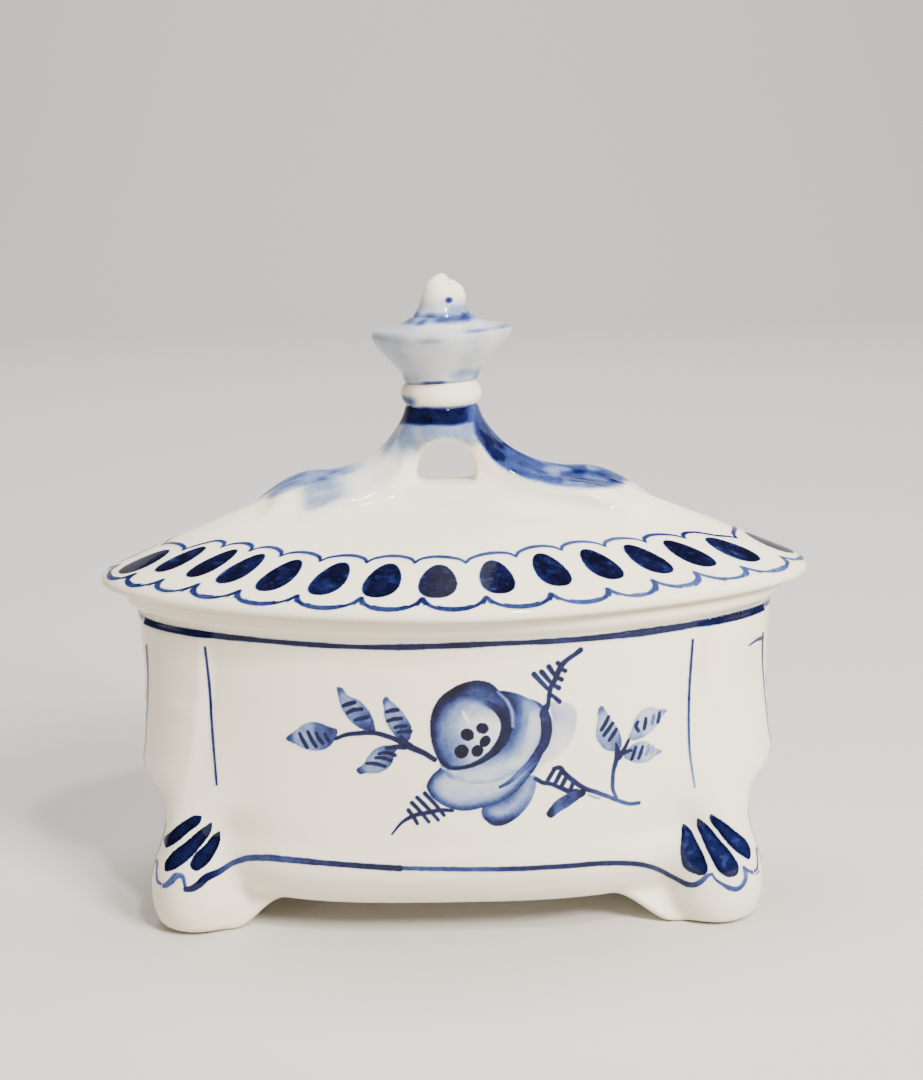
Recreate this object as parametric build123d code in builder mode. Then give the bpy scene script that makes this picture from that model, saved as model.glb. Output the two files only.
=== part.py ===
from build123d import *
import math
import os

# Porcelain trinket box: an oval box on four paw feet with a lift-off domed lid.
# Millimetres, +Z up, table at Z = 0, box centred on the Z axis, +X along its length,
# the decorated front facing -Y.

# Levels above the table
apron_z = 7.5          # lower edge of the wall between the feet
floor_under_z = 10.5   # underside of the floor
floor_top_z = 14.5     # inside bottom of the box
wall_top_z = 52.0      # where the rim moulding starts
seat_z = 57.0          # top of the rim, where the lid sits

# Plan outlines are super-ellipses: half length, half depth, squareness
wall_sections = [
    (apron_z, 46.0, 31.2, 2.70),
    (9.5, 47.6, 32.1, 2.70),
    (14.0, 48.4, 32.4, 2.65),
    (18.0, 49.4, 32.3, 2.50),
    (21.0, 52.0, 32.2, 2.35),
    (24.0, 55.0, 32.1, 2.20),
    (27.0, 56.0, 32.0, 2.12),
    (31.0, 56.3, 31.9, 2.08),
    (41.0, 56.2, 31.6, 1.95),
    (wall_top_z, 57.0, 31.4, 1.85),
]
wall_thickness = 4.2
rim_reach = 1.9        # how far the rim moulding stands out from the wall

# Legs: a corner pilaster that ends in a knee, an ankle and a rounded paw.
# Each section is a circle: height, centre x, centre y, radius
leg_sections = [
    (0.0, 44.9, 19.2, 5.8),
    (1.0, 44.9, 19.2, 7.0),
    (3.0, 44.9, 19.2, 7.9),
    (7.0, 44.9, 19.2, 8.3),
    (11.0, 44.9, 19.2, 7.8),
    (15.0, 44.9, 19.2, 6.4),
    (18.0, 44.7, 18.8, 5.9),
    (21.0, 43.6, 16.8, 7.2),
    (24.5, 41.2, 12.6, 10.6),
    (27.5, 40.3, 10.2, 12.3),
    (41.0, 40.3, 9.0, 12.1),
    (wall_top_z, 40.6, 8.0, 12.0),
]

# Lid
lid_length = 126.0
lid_depth = 73.0
lid_roundness = 1.75
lid_edge_z = 3.4       # thickness of the rounded lid edge
lid_slope = 0.42       # rise of the lid for each millimetre in from the edge
ridge_z = 16.8         # height of the lid's crest above the seat
lid_shell = 4.0
flange_clearance = 0.9
flange_depth = 4.0
flange_thickness = 3.0

# Knop: a bridge of four leaf straps carrying a collar, a cup and a bud
knop_x = -1.5
hole_half_width = 5.2
hole_top_z = 81.2
strap_width = 8.6
strap_root = 7.0       # distance from the knop axis at which a strap leaves the stem
# Straps: side, place, direction seen from above, reach, how far it lies below the tall ones
strap_table = [
    ("left", "front", 199.0, 27.0, 3.4),
    ("left", "back", 171.0, 34.5, 0.0),
    ("right", "front", -8.0, 36.0, 2.4),
    ("right", "back", 9.0, 37.0, 0.0),
]
# Top line of a strap: share of its reach, height above the table
strap_line = [
    (0.10, 81.8),
    (0.27, 78.4),
    (0.50, 76.7),
    (0.67, 76.3),
    (0.79, 74.9),
    (0.92, 72.4),
    (1.00, 70.6),
]
stem_z = 85.0
collar_z = 87.6
cup_z = 92.2
cup_rim_z = 100.2
bud_z = 103.2
bud_top_z = 110.4


def oval(half_length, half_depth, squareness, count=20):
    """Points round a super-ellipse, in order, for a closed spline."""
    points = []
    for i in range(count):
        t = 2 * math.pi * i / count
        c = math.cos(t)
        s = math.sin(t)
        x = half_length * math.copysign(abs(c) ** (2 / squareness), c)
        y = half_depth * math.copysign(abs(s) ** (2 / squareness), s)
        points.append((x, y))
    return points


# ---------------------------------------------------------------- the box

# Full outside shape of the wall, used to trim the legs
with BuildPart() as wall_outside:
    for z, half_length, half_depth, squareness in wall_sections:
        with BuildSketch(Plane.XY.offset(z)):
            with BuildLine():
                Spline(*oval(half_length, half_depth, squareness), periodic=True)
            make_face()
    loft(ruled=True)

# Space inside the wall, one wall thickness in from the outside
with BuildPart() as wall_inside:
    for z, half_length, half_depth, squareness in wall_sections:
        inner_length = min(half_length, 53.0) - wall_thickness
        with BuildSketch(Plane.XY.offset(z)):
            with BuildLine():
                Spline(*oval(inner_length, half_depth - wall_thickness, squareness), periodic=True)
            make_face()
    loft(ruled=True)

# Wall ring, open at the top and bottom
with BuildPart() as box_wall:
    add(wall_outside.part)
    add(wall_inside.part, mode=Mode.SUBTRACT)

# Floor plate, filling the inside of the wall
with BuildPart() as box_floor:
    add(wall_inside.part)
    with Locations((0, 0, (floor_under_z + floor_top_z) / 2)):
        Box(130, 90, floor_top_z - floor_under_z, mode=Mode.INTERSECT)

# Rim moulding: a cove from the wall out to a square-topped bead, mouth open
top_length = wall_sections[-1][1]
top_depth = wall_sections[-1][2]
top_squareness = wall_sections[-1][3]
mouth_length = 53.0 - wall_thickness
mouth_depth = top_depth - wall_thickness
with BuildPart() as rim_moulding:
    for z, reach in ((wall_top_z, 0.0), (53.2, 0.7), (54.6, rim_reach), (seat_z, rim_reach)):
        with BuildSketch(Plane.XY.offset(z)):
            with BuildLine():
                Spline(*oval(top_length + reach, top_depth + reach, top_squareness), periodic=True)
            make_face()
    loft(ruled=True)
    with BuildSketch(Plane.XY.offset(wall_top_z)):
        with BuildLine():
            Spline(*oval(mouth_length, mouth_depth, top_squareness), periodic=True)
        make_face()
    extrude(amount=seat_z - wall_top_z, mode=Mode.SUBTRACT)

# Four corner legs, trimmed to stand against the wall
legs = {}
for side, sign_x in (("left", -1), ("right", 1)):
    for place, sign_y in (("front", -1), ("back", 1)):
        with BuildPart() as leg:
            for z, centre_x, centre_y, radius in leg_sections:
                with BuildSketch(Plane.XY.offset(z)):
                    with Locations((sign_x * centre_x, sign_y * centre_y)):
                        Circle(radius)
            loft(ruled=True)
            add(wall_outside.part, mode=Mode.SUBTRACT)
        legs[f"leg_{place}_{side}"] = leg.part

# ---------------------------------------------------------------- the lid

lid_half_length = lid_length / 2
lid_half_depth = lid_depth / 2

# Full outside shape of the lid: rounded edge, even slope, narrow crest
lid_profile = [
    (0.0, 1.4),
    (0.9, 0.3),
    (1.8, 0.0),
    (lid_edge_z - 0.7, 0.6),
    (lid_edge_z + 0.3, 3.0),
]
for inset in (8.0, 14.0, 20.0, 26.0):
    lid_profile.append((lid_edge_z + lid_slope * (inset - 2.6), inset))
lid_profile.append((ridge_z - 1.4, 30.0))
lid_profile.append((ridge_z - 0.4, 32.5))
lid_profile.append((ridge_z, 34.2))
with BuildPart() as lid_outside:
    for height, inset in lid_profile:
        with BuildSketch(Plane.XY.offset(seat_z + height)):
            with BuildLine():
                Spline(
                    *oval(lid_half_length - inset, lid_half_depth - inset, lid_roundness),
                    periodic=True,
                )
            make_face()
    loft(ruled=True)

# Hollow under the lid, inside the locating flange
flange_length = mouth_length - flange_clearance
flange_half_depth = mouth_depth - flange_clearance
hollow_length = flange_length - flange_thickness
hollow_depth = flange_half_depth - flange_thickness
with BuildPart() as lid_hollow:
    for height, inset in ((0.0, 0.0), (2.6, 1.0), (6.0, 8.0), (10.6, 18.0)):
        with BuildSketch(Plane.XY.offset(seat_z + height)):
            with BuildLine():
                Spline(
                    *oval(hollow_length - inset, hollow_depth - inset, lid_roundness),
                    periodic=True,
                )
            make_face()
    loft(ruled=True)

# Domed lid shell
with BuildPart() as lid_dome:
    add(lid_outside.part)
    add(lid_hollow.part, mode=Mode.SUBTRACT)

# Locating flange: a ring under the lid that drops into the mouth of the box
with BuildPart() as lid_flange:
    with BuildSketch(Plane.XY.offset(seat_z - flange_depth)):
        with BuildLine():
            Spline(*oval(flange_length, flange_half_depth, top_squareness), periodic=True)
        make_face()
        with BuildLine():
            Spline(*oval(hollow_length, hollow_depth, top_squareness), periodic=True)
        make_face(mode=Mode.SUBTRACT)
    extrude(amount=flange_depth)

# Finger hole under the knop: flat sill, round head, right through front to back
hole_sill_z = seat_z + ridge_z
with BuildPart() as finger_hole:
    with BuildSketch(Plane.XZ):
        with BuildLine():
            Polyline(
                (knop_x - hole_half_width, hole_sill_z + 2.4),
                (knop_x - hole_half_width, hole_sill_z - 6),
                (knop_x + hole_half_width, hole_sill_z - 6),
                (knop_x + hole_half_width, hole_sill_z + 2.4),
            )
            ThreePointArc(
                (knop_x + hole_half_width, hole_sill_z + 2.4),
                (knop_x, hole_top_z),
                (knop_x - hole_half_width, hole_sill_z + 2.4),
            )
        make_face()
    extrude(amount=30, both=True)


# The four straps, each a leaf in plan, running from the stem down on to the lid
straps = {}
for side, place, angle, reach, sink in strap_table:
    sign_x = -1 if side == "left" else 1
    sign_y = -1 if place == "front" else 1
    top_line = [(strap_root, stem_z)]
    for share, height in strap_line:
        distance = strap_root + share * (reach - strap_root)
        top_line.append((distance, height - sink * min(1.0, 5 * share)))
    with BuildPart() as strap_blank:
        with BuildSketch(Plane.XZ):
            with BuildLine():
                Spline(*top_line)
                Polyline(top_line[-1], (reach, 66), (0, 66), (0, stem_z), top_line[0])
            make_face()
        extrude(amount=strap_width, both=True)
        with BuildSketch(Plane.XY.offset(60), mode=Mode.INTERSECT):
            with BuildLine():
                Spline(
                    (0, strap_width * 0.72),
                    (reach * 0.27, strap_width * 0.42),
                    (reach * 0.65, strap_width * 0.52),
                    (reach, 0),
                )
                Spline(
                    (reach, 0),
                    (reach * 0.65, -strap_width * 0.52),
                    (reach * 0.27, -strap_width * 0.42),
                    (0, -strap_width * 0.72),
                )
                Line((0, -strap_width * 0.72), (0, strap_width * 0.72))
            make_face()
        extrude(amount=30, mode=Mode.INTERSECT)
    with BuildPart() as strap:
        with Locations(Location((knop_x, 0, 0), (0, 0, angle))):
            add(strap_blank.part)
        with Locations((knop_x + sign_x * 30, sign_y * 30, 80)):
            Box(60, 60, 60, mode=Mode.INTERSECT)
        add(lid_outside.part, mode=Mode.SUBTRACT)
        add(finger_hole.part, mode=Mode.SUBTRACT)
    straps[f"strap_{place}_{side}"] = strap.part

# Stem on top of the straps
with BuildPart() as knop_stem:
    with BuildSketch(Plane.XY.offset(stem_z)):
        with Locations((knop_x, 0)):
            Circle(7.0)
    with BuildSketch(Plane.XY.offset(collar_z)):
        with Locations((knop_x, 0)):
            Circle(6.3)
    loft()

# Rounded collar
with BuildPart() as knop_collar:
    with BuildSketch(Plane.XZ):
        with BuildLine():
            Line((knop_x, collar_z), (knop_x + 5.9, collar_z))
            ThreePointArc(
                (knop_x + 5.9, collar_z),
                (knop_x + 7.1, (collar_z + cup_z) / 2),
                (knop_x + 5.9, cup_z),
            )
            Line((knop_x + 5.9, cup_z), (knop_x, cup_z))
            Line((knop_x, cup_z), (knop_x, collar_z))
        make_face()
    revolve(axis=Axis((knop_x, 0, 0), (0, 0, 1)))

# Flared cup with a closed, gently rising top
with BuildPart() as knop_cup:
    with BuildSketch(Plane.XZ):
        with BuildLine():
            Line((knop_x, cup_z), (knop_x + 6.6, cup_z))
            Spline(
                (knop_x + 6.6, cup_z),
                (knop_x + 8.4, cup_z + 3.0),
                (knop_x + 11.9, cup_rim_z - 0.8),
            )
            ThreePointArc(
                (knop_x + 11.9, cup_rim_z - 0.8),
                (knop_x + 12.2, cup_rim_z + 0.1),
                (knop_x + 11.4, cup_rim_z + 0.6),
            )
            Spline(
                (knop_x + 11.4, cup_rim_z + 0.6),
                (knop_x + 8.0, cup_rim_z + 1.1),
                (knop_x + 4.9, bud_z),
            )
            Line((knop_x + 4.9, bud_z), (knop_x, bud_z))
            Line((knop_x, bud_z), (knop_x, cup_z))
        make_face()
    revolve(axis=Axis((knop_x, 0, 0), (0, 0, 1)))

# Bud that closes the knop
with BuildPart() as knop_bud:
    with BuildSketch(Plane.XZ):
        with BuildLine():
            Line((knop_x, bud_z), (knop_x + 4.9, bud_z))
            Spline(
                (knop_x + 4.9, bud_z),
                (knop_x + 3.9, bud_z + 3.0),
                (knop_x + 2.0, bud_top_z - 1.4),
                (knop_x, bud_top_z),
                tangents=[(0.1, 1), (-1, 0)],
            )
            Line((knop_x, bud_top_z), (knop_x, bud_z))
        make_face()
    revolve(axis=Axis((knop_x, 0, 0), (0, 0, 1)))

# ---------------------------------------------------------------- files

parts = {
    "box_wall": box_wall.part,
    "box_floor": box_floor.part,
    "rim_moulding": rim_moulding.part,
    "lid_dome": lid_dome.part,
    "lid_flange": lid_flange.part,
    "knop_stem": knop_stem.part,
    "knop_collar": knop_collar.part,
    "knop_cup": knop_cup.part,
    "knop_bud": knop_bud.part,
}
parts.update(legs)
parts.update(straps)
os.makedirs("parts", exist_ok=True)
for name, shape in parts.items():
    shape.label = name
    export_step(shape, f"parts/{name}.step")
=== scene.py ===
"""Looks of the porcelain trinket box: two glazed skins grown from one smooth field each,
with cobalt brushwork laid on them as thin conforming films."""

import math

import bpy
import numpy as np
from mathutils import Matrix, Vector
from mathutils.bvhtree import BVHTree


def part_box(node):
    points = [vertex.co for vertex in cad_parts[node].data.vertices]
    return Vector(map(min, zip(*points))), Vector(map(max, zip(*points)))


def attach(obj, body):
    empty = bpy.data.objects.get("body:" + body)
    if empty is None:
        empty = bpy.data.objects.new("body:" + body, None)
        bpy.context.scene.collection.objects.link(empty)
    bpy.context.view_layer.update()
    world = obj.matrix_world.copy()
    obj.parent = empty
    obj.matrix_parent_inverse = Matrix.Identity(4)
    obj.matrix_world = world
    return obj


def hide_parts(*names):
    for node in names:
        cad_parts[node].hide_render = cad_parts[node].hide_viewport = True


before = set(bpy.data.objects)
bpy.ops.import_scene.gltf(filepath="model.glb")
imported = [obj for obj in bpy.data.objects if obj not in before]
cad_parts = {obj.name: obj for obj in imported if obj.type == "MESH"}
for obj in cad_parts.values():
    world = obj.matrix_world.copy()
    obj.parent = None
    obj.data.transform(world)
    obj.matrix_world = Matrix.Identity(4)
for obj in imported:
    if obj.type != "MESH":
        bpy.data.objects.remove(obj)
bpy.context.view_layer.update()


def node_box(name):
    """Lowest and highest corner of a CAD node, in millimetres."""
    low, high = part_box(name)
    return np.array(low) * 1000.0, np.array(high) * 1000.0


# Levels and sizes taken from the CAD, in millimetres
wall_low, wall_high = node_box("box_wall")
floor_low, floor_high = node_box("box_floor")
rim_high = node_box("rim_moulding")[1]
lid_low, lid_high = node_box("lid_dome")
flange_low, flange_high = node_box("lid_flange")
collar_low, collar_high = node_box("knop_collar")
cup_low = node_box("knop_cup")[0]
bud_low, bud_high = node_box("knop_bud")
APRON = wall_low[2]
WALL_TOP = wall_high[2]
SEAT = rim_high[2]
FLOOR_UNDER = floor_low[2]
FLOOR_TOP = floor_high[2]
LID_A = (lid_high[0] - lid_low[0]) / 2
LID_B = (lid_high[1] - lid_low[1]) / 2
RIDGE = lid_high[2] - SEAT
FLANGE_A = (flange_high[0] - flange_low[0]) / 2
FLANGE_B = (flange_high[1] - flange_low[1]) / 2
FLANGE_DROP = SEAT - flange_low[2]
KNOP_X = (collar_low[0] + collar_high[0]) / 2
COLLAR_Z = collar_low[2] - SEAT
CUP_Z = cup_low[2] - SEAT
BUD_Z = bud_low[2] - SEAT
BUD_TOP = bud_high[2] - SEAT

WALL_THICK = 4.2
LID_THICK = 4.0
RING_THICK = 3.0
RING_N = 1.85
LID_N = 1.75  # squareness of the lid's outline
CUP_LEAN = -1.8
OPENING_END = 53.0  # the inside stops short of the pointed ends

# Half length, half depth and squareness of the wall outline at a few heights
WALL_Z = [0.0, 3.0, 6.0, 9.0, 12.0, 14.5, 18.0, 21.0, 24.0, 27.0, 31.0, 41.0, WALL_TOP, SEAT]
WALL_A = [47.6, 45.6, 44.8, 46.5, 47.9, 48.5, 49.0, 51.6, 54.8, 56.2, 56.4, 56.2, 56.8, 57.0]
WALL_B = [32.0, 29.8, 28.7, 30.6, 32.1, 32.5, 32.3, 32.3, 32.2, 32.1, 31.9, 31.6, 31.4, 31.4]
WALL_N = [2.70, 2.70, 2.70, 2.70, 2.68, 2.64, 2.50, 2.35, 2.20, 2.12, 2.08, 1.97, 1.87, 1.85]

# Centre and radius of a leg at a few heights, in one quarter of the box
LEG_Z = [0.0, 1.0, 3.0, 7.0, 11.0, 15.0, 18.0, 21.0, 24.5, 28.0, 36.0]
LEG_X = [44.9, 44.9, 44.9, 44.9, 44.9, 44.9, 44.7, 43.6, 41.2, 40.0, 39.0]
LEG_Y = [19.2, 19.2, 19.2, 19.2, 19.2, 19.2, 18.8, 16.8, 12.6, 9.8, 8.6]
LEG_R = [5.8, 7.0, 7.9, 8.3, 7.8, 6.4, 5.9, 7.2, 10.6, 12.2, 11.0]


# ------------------------------------------------------------------ fields


def smooth_min(a, b, k):
    h = np.maximum(k - np.abs(a - b), 0.0) / k
    return np.minimum(a, b) - h * h * h * k / 6.0


def smooth_max(a, b, k):
    return -smooth_min(-a, -b, k)


def step(x, low, high):
    t = np.clip((x - low) / (high - low), 0.0, 1.0)
    return t * t * (3.0 - 2.0 * t)


def curve(x, knots, values):
    """Smooth interpolation through a short table."""
    k = np.asarray(knots, float)
    v = np.asarray(values, float)
    m = np.gradient(v, k)
    x = np.clip(x, k[0], k[-1])
    i = np.clip(np.searchsorted(k, x, side="right") - 1, 0, len(k) - 2)
    h = k[i + 1] - k[i]
    t = (x - k[i]) / h
    t2 = t * t
    t3 = t2 * t
    return (
        (2 * t3 - 3 * t2 + 1) * v[i]
        + (t3 - 2 * t2 + t) * h * m[i]
        + (3 * t2 - 2 * t3) * v[i + 1]
        + (t3 - t2) * h * m[i + 1]
    )


def oval(x, y, a, b, n, soft=0.004):
    """Signed distance, near enough, to a super-ellipse with softened ends."""
    u = (x / a) ** 2 + soft
    v = (y / b) ** 2 + soft
    norm = (1.0 + soft) ** (n / 2) + soft ** (n / 2)
    f = ((u ** (n / 2) + v ** (n / 2)) / norm) ** (1.0 / n)
    gx = f ** (1.0 - n) / norm * u ** (n / 2 - 1) * x / a**2
    gy = f ** (1.0 - n) / norm * v ** (n / 2 - 1) * y / b**2
    slope = np.sqrt(gx * gx + gy * gy)
    return (f - 1.0) / np.maximum(slope, 0.5 / np.maximum(a, b))


def wall_outline(z):
    """Half length, half depth and squareness of the wall at a height."""
    return curve(z, WALL_Z, WALL_A), curve(z, WALL_Z, WALL_B), curve(z, WALL_Z, WALL_N)


def bow(u, along, out, n):
    """How far out a super-ellipse stands, u along it from its middle."""
    return out * np.maximum(1.0 - np.abs(u / along) ** n, 0.02) ** (1.0 / n)


def waver(x, y, z):
    """Slight unevenness of a hand-finished cast."""
    return (
        0.10 * np.sin(0.071 * x + 1.3) * np.cos(0.083 * z + 0.4)
        + 0.07 * np.sin(0.13 * x + 0.09 * z + 2.1)
        + 0.05 * np.cos(0.17 * y - 0.11 * z)
    )


def pilaster(x, y, z):
    """How far the corner pilasters stand proud of the panels between them."""
    angle = np.degrees(np.arctan2(np.abs(y) / 31.6, np.abs(x) / 56.6))
    front = 1.0 - step(angle, 39.6, 43.4)
    end = step(angle, 13.0, 17.5)
    crown = 1.0 - 0.35 * ((angle - 28.0) / 14.0) ** 2
    low = step(z, 18.0, 24.0)
    knee = 0.9 * np.exp(-(((z - 25.6) / 2.7) ** 2)) * (1.0 - step(angle, 26.0, 38.0))
    return (1.15 + knee) * front * end * crown * low


def rim_reach(z):
    return 1.9 * step(z, WALL_TOP + 0.5, WALL_TOP + 2.9)


# How the apron's lower edge sweeps down to the feet
APRON_DROP = 1.7
SWEEP_DEPTH = 6.4
SWEEP_NEAR = (6.0, 1.0)
SWEEP_FAR = (18.0, 1.5)


def box_field(p):
    x, y, z = p[..., 0], p[..., 1], p[..., 2]
    x = x + 0.5 * (1.0 - step(z, 8.0, 28.0))
    a, b, n = wall_outline(z)
    reach = rim_reach(z)
    d = oval(x, y, a + reach, b + reach, n)
    d = d - pilaster(x, y, z) * (1.0 - step(z, WALL_TOP - 1.0, WALL_TOP + 1.0)) + waver(x, y, z)
    off_foot = np.hypot(np.abs(x) - LEG_X[0], np.abs(y) - LEG_Y[0])
    right = np.tanh(x / 10.0)
    sweep = SWEEP_DEPTH * (
        1.0 - step(off_foot, SWEEP_NEAR[0] + SWEEP_NEAR[1] * right, SWEEP_FAR[0] + SWEEP_FAR[1] * right)
    )
    d = smooth_max(d, APRON - APRON_DROP - sweep - z, 3.0)
    recess = smooth_max(oval(x, y, 41.0, 26.5, 2.6), z - FLOOR_UNDER, 3.0)
    recess = smooth_max(recess, 15.0 - off_foot, 4.0)
    d = smooth_max(d, -recess, 2.0)
    lx = curve(z, LEG_Z, LEG_X)
    ly = curve(z, LEG_Z, LEG_Y)
    lr = curve(z, LEG_Z, LEG_R)
    leg = (np.hypot(np.abs(x) - lx, np.abs(y) - ly) - lr) * 0.88
    leg = smooth_max(leg, -z, 1.6)
    leg = smooth_max(leg, z - 37.0, 2.0)
    d = smooth_min(d, leg, 6.0)
    d = smooth_max(d, -z, 1.2)
    d = smooth_max(d, z - SEAT, 1.6)
    inner = oval(x, y, np.minimum(a, OPENING_END) - WALL_THICK, b - WALL_THICK, n)
    inner = smooth_max(inner, FLOOR_TOP - z, 9.0)
    return smooth_max(d, -inner, 2.4)


SLACK = 0.7  # what rounding the edge takes off the lid's outline


def lid_inset(x, y):
    """Distance in from the lid's outline, measured between nested outlines."""
    n = LID_N
    soft = 0.004
    norm = (1.0 + soft) ** (n / 2) + soft ** (n / 2)
    low = np.full(np.shape(x), -12.0)
    high = np.full(np.shape(x), LID_B - 0.02)
    for _ in range(40):
        mid = (low + high) / 2
        u = (x / (LID_A + SLACK - mid)) ** 2 + soft
        v = (y / (LID_B + SLACK - mid)) ** 2 + soft
        outside = u ** (n / 2) + v ** (n / 2) > norm
        high = np.where(outside, mid, high)
        low = np.where(outside, low, mid)
    return (low + high) / 2


def lid_height(s):
    """Height of the lid's top above its seat, by inset."""
    slope = 2.95 + 0.40 * (s - 2.6) + 0.5 * step(s, 4.0, 20.0)
    return smooth_min(slope, RIDGE + 0.0 * s, 5.0)


HOLE_W = 5.15
HOLE_X = 0.55
HOLE_TOP = 24.8
# Leaf straps: direction seen from above, reach, how far below the tall ones
STRAPS = [(193.0, 26.5, 3.0), (171.0, 34.8, 0.0), (-8.0, 36.0, 2.5), (9.0, 37.6, 0.0)]
STRAP_ROOT = 5.0
STRAP_F = [0.0, 0.08, 0.17, 0.33, 0.50, 0.67, 0.80, 0.92, 1.0]
STRAP_TOP = [30.2, 27.3, 24.1, 20.8, 19.3, 18.8, 17.3, 14.9, 12.8]
STRAP_HALF = [2.4, 2.2, 2.1, 2.1, 2.5, 3.1, 3.2, 2.4, 1.0]
STRAP_THICK = [2.4, 2.2, 2.0, 1.7, 1.5, 1.5, 1.4, 1.2, 0.8]


def strap_lines(x, y, z, strap):
    """Share of the reach, offset across the strap and drop below its crest line."""
    angle, reach, sink = strap
    t = math.radians(angle)
    along = x * math.cos(t) + y * math.sin(t)
    f = np.clip((along - STRAP_ROOT) / (reach - STRAP_ROOT), 0.0, 1.0)
    bend = 1.1 * np.sin(f * 4.2) * (1.0 if abs(angle) > 90 else -1.0)
    across = -x * math.sin(t) + y * math.cos(t) - bend
    top = curve(f, STRAP_F, STRAP_TOP) - sink * np.minimum(1.0, 6.0 * f) * (1.0 - 0.3 * f)
    return along, f, across, top - z


def strap_field(x, y, z, strap):
    along, f, across, drop = strap_lines(x, y, z, strap)
    half = curve(f, STRAP_F, STRAP_HALF)
    thick = curve(f, STRAP_F, STRAP_THICK)
    rise = (
        curve(f + 0.02, STRAP_F, STRAP_TOP) - curve(f - 0.02, STRAP_F, STRAP_TOP)
    ) / (0.04 * (strap[1] - STRAP_ROOT))
    lean = 1.0 / np.sqrt(1.0 + rise * rise)
    q = np.hypot(across / half, (drop * lean - thick) / thick)
    d = (q - 1.0) * np.minimum(thick, half)
    past = np.maximum(np.maximum(along - strap[1], STRAP_ROOT - 2.0 - along), 0.0)
    return np.hypot(np.maximum(d, 0.0), past) + np.minimum(d, 0.0) + 0.5 * past


def hole_field(x, z):
    d = oval(x - HOLE_X, z - 18.4, HOLE_W, HOLE_TOP - 18.4, 2.0)
    return smooth_max(d, RIDGE + 0.1 - z, 2.6)


def handle_field(x, y, z):
    """Web, straps and stem, with the finger hole through them."""
    ax = np.abs(x)
    top = curve(
        ax, [0, 5.5, 8.0, 10.5, 15.5, 20.0, 26.0, 32.0], [29.5, 27.8, 25.6, 22.6, 19.6, 17.9, 16.2, 14.0],
    )
    half = 3.4 + 1.2 * step(-z, -21.0, -15.0) + 1.3 * step(z, 23.0, 28.0)
    web = smooth_max((z - top) * 0.72, np.abs(y) - half, 3.5)
    web = smooth_max(web, ax - 30.0, 3.0)
    d = web
    for strap in STRAPS:
        d = smooth_min(d, strap_field(x, y, z, strap), 2.0)
    r = curve(z, [22.0, 26.0, 28.0, COLLAR_Z, COLLAR_Z + 2], [7.6, 6.9, 6.6, 6.3, 6.3])
    stem = smooth_max(np.hypot(x, y) - r, 24.5 - z, 3.0)
    d = smooth_min(d, stem, 3.4)
    d = smooth_max(d, z - COLLAR_Z - 0.2, 0.8)
    return smooth_max(d, -hole_field(x, z), 2.2)


def lid_shell_field(x, y, z, s):
    """The lid without its handle; z is measured from the seat."""
    h = lid_height(s)
    d = smooth_max((z - h) * 0.92, -s, 4.2)
    d = smooth_max(d, -z, 2.4)
    within_ring = oval(x, y, FLANGE_A - RING_THICK, FLANGE_B - RING_THICK, RING_N)
    hollow = smooth_max(within_ring, z - (h - LID_THICK), 4.0)
    d = smooth_max(d, -hollow, 2.0)
    ring = smooth_max(oval(x, y, FLANGE_A, FLANGE_B, RING_N), -within_ring, 1.2)
    ring = smooth_max(ring, -(z + FLANGE_DROP), 1.4)
    ring = smooth_max(ring, z - 1.5, 0.5)
    return smooth_min(d, ring, 1.2)


def lid_field(p):
    x, y, z = p[..., 0], p[..., 1], p[..., 2] - SEAT
    s = lid_inset(x, y)
    d = lid_shell_field(x, y, z, s) + 0.6 * waver(x, y, z + 20.0)
    kx = x - KNOP_X
    near = (np.abs(kx) < 44) & (np.abs(y) < 16) & (z > 8.0)
    handle = np.full(np.shape(x), 50.0)
    handle[near] = handle_field(kx[near], y[near], z[near])
    joined = smooth_min(d, handle, 4.5)
    keep_hollow = z < lid_height(s) - 2.0
    return np.where(keep_hollow, d, joined)


def collar_field(p):
    x, y, z = p[..., 0] - KNOP_X, p[..., 1], p[..., 2] - SEAT
    mid = (COLLAR_Z + CUP_Z) / 2
    half = (CUP_Z - COLLAR_Z) / 2
    r = np.hypot(x, y)
    round_part = np.sqrt(((r - 5.0) / 2.15) ** 2 + ((z - mid) / (half + 0.05)) ** 2) - 1.0
    core = np.maximum(r - 6.0, np.abs(z - mid) - half - 0.4)
    return smooth_min(round_part * 2.1, core, 0.8)


CUP_H = [0.0, 1.5, 3.0, 4.7, 6.3, 7.9, 9.2]
CUP_R = [6.5, 7.0, 8.25, 9.85, 11.05, 11.85, 11.95]


def tilted(p, degrees):
    """Coordinates in a cup set slightly askew on its collar."""
    t = math.radians(degrees)
    x, y, z = p[..., 0] - KNOP_X - 0.065 * (p[..., 2] - SEAT - CUP_Z), p[..., 1], p[..., 2] - SEAT - CUP_Z
    return x * math.cos(t) - z * math.sin(t), y, x * math.sin(t) + z * math.cos(t)


def cup_field(p):
    x, y, z = tilted(p, CUP_LEAN)
    r = np.hypot(x, y)
    turn = np.arctan2(y, x)
    rise = np.clip(z / 8.0, 0.0, 1.0)
    lobe = 1.0 + 0.030 * np.cos(4 * turn) * rise + 0.008 * np.cos(8 * turn) * rise
    outer = (r - curve(z, CUP_H, CUP_R) * lobe) * 0.78
    top = 9.2 + 2.3 * step(-r, -10.0, -3.6) + 0.25 * step(r, 9.6, 11.2)
    d = smooth_max(outer, (z - top) * 0.85, 2.2)
    return smooth_max(d, -(z + 0.2), 0.8)


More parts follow.
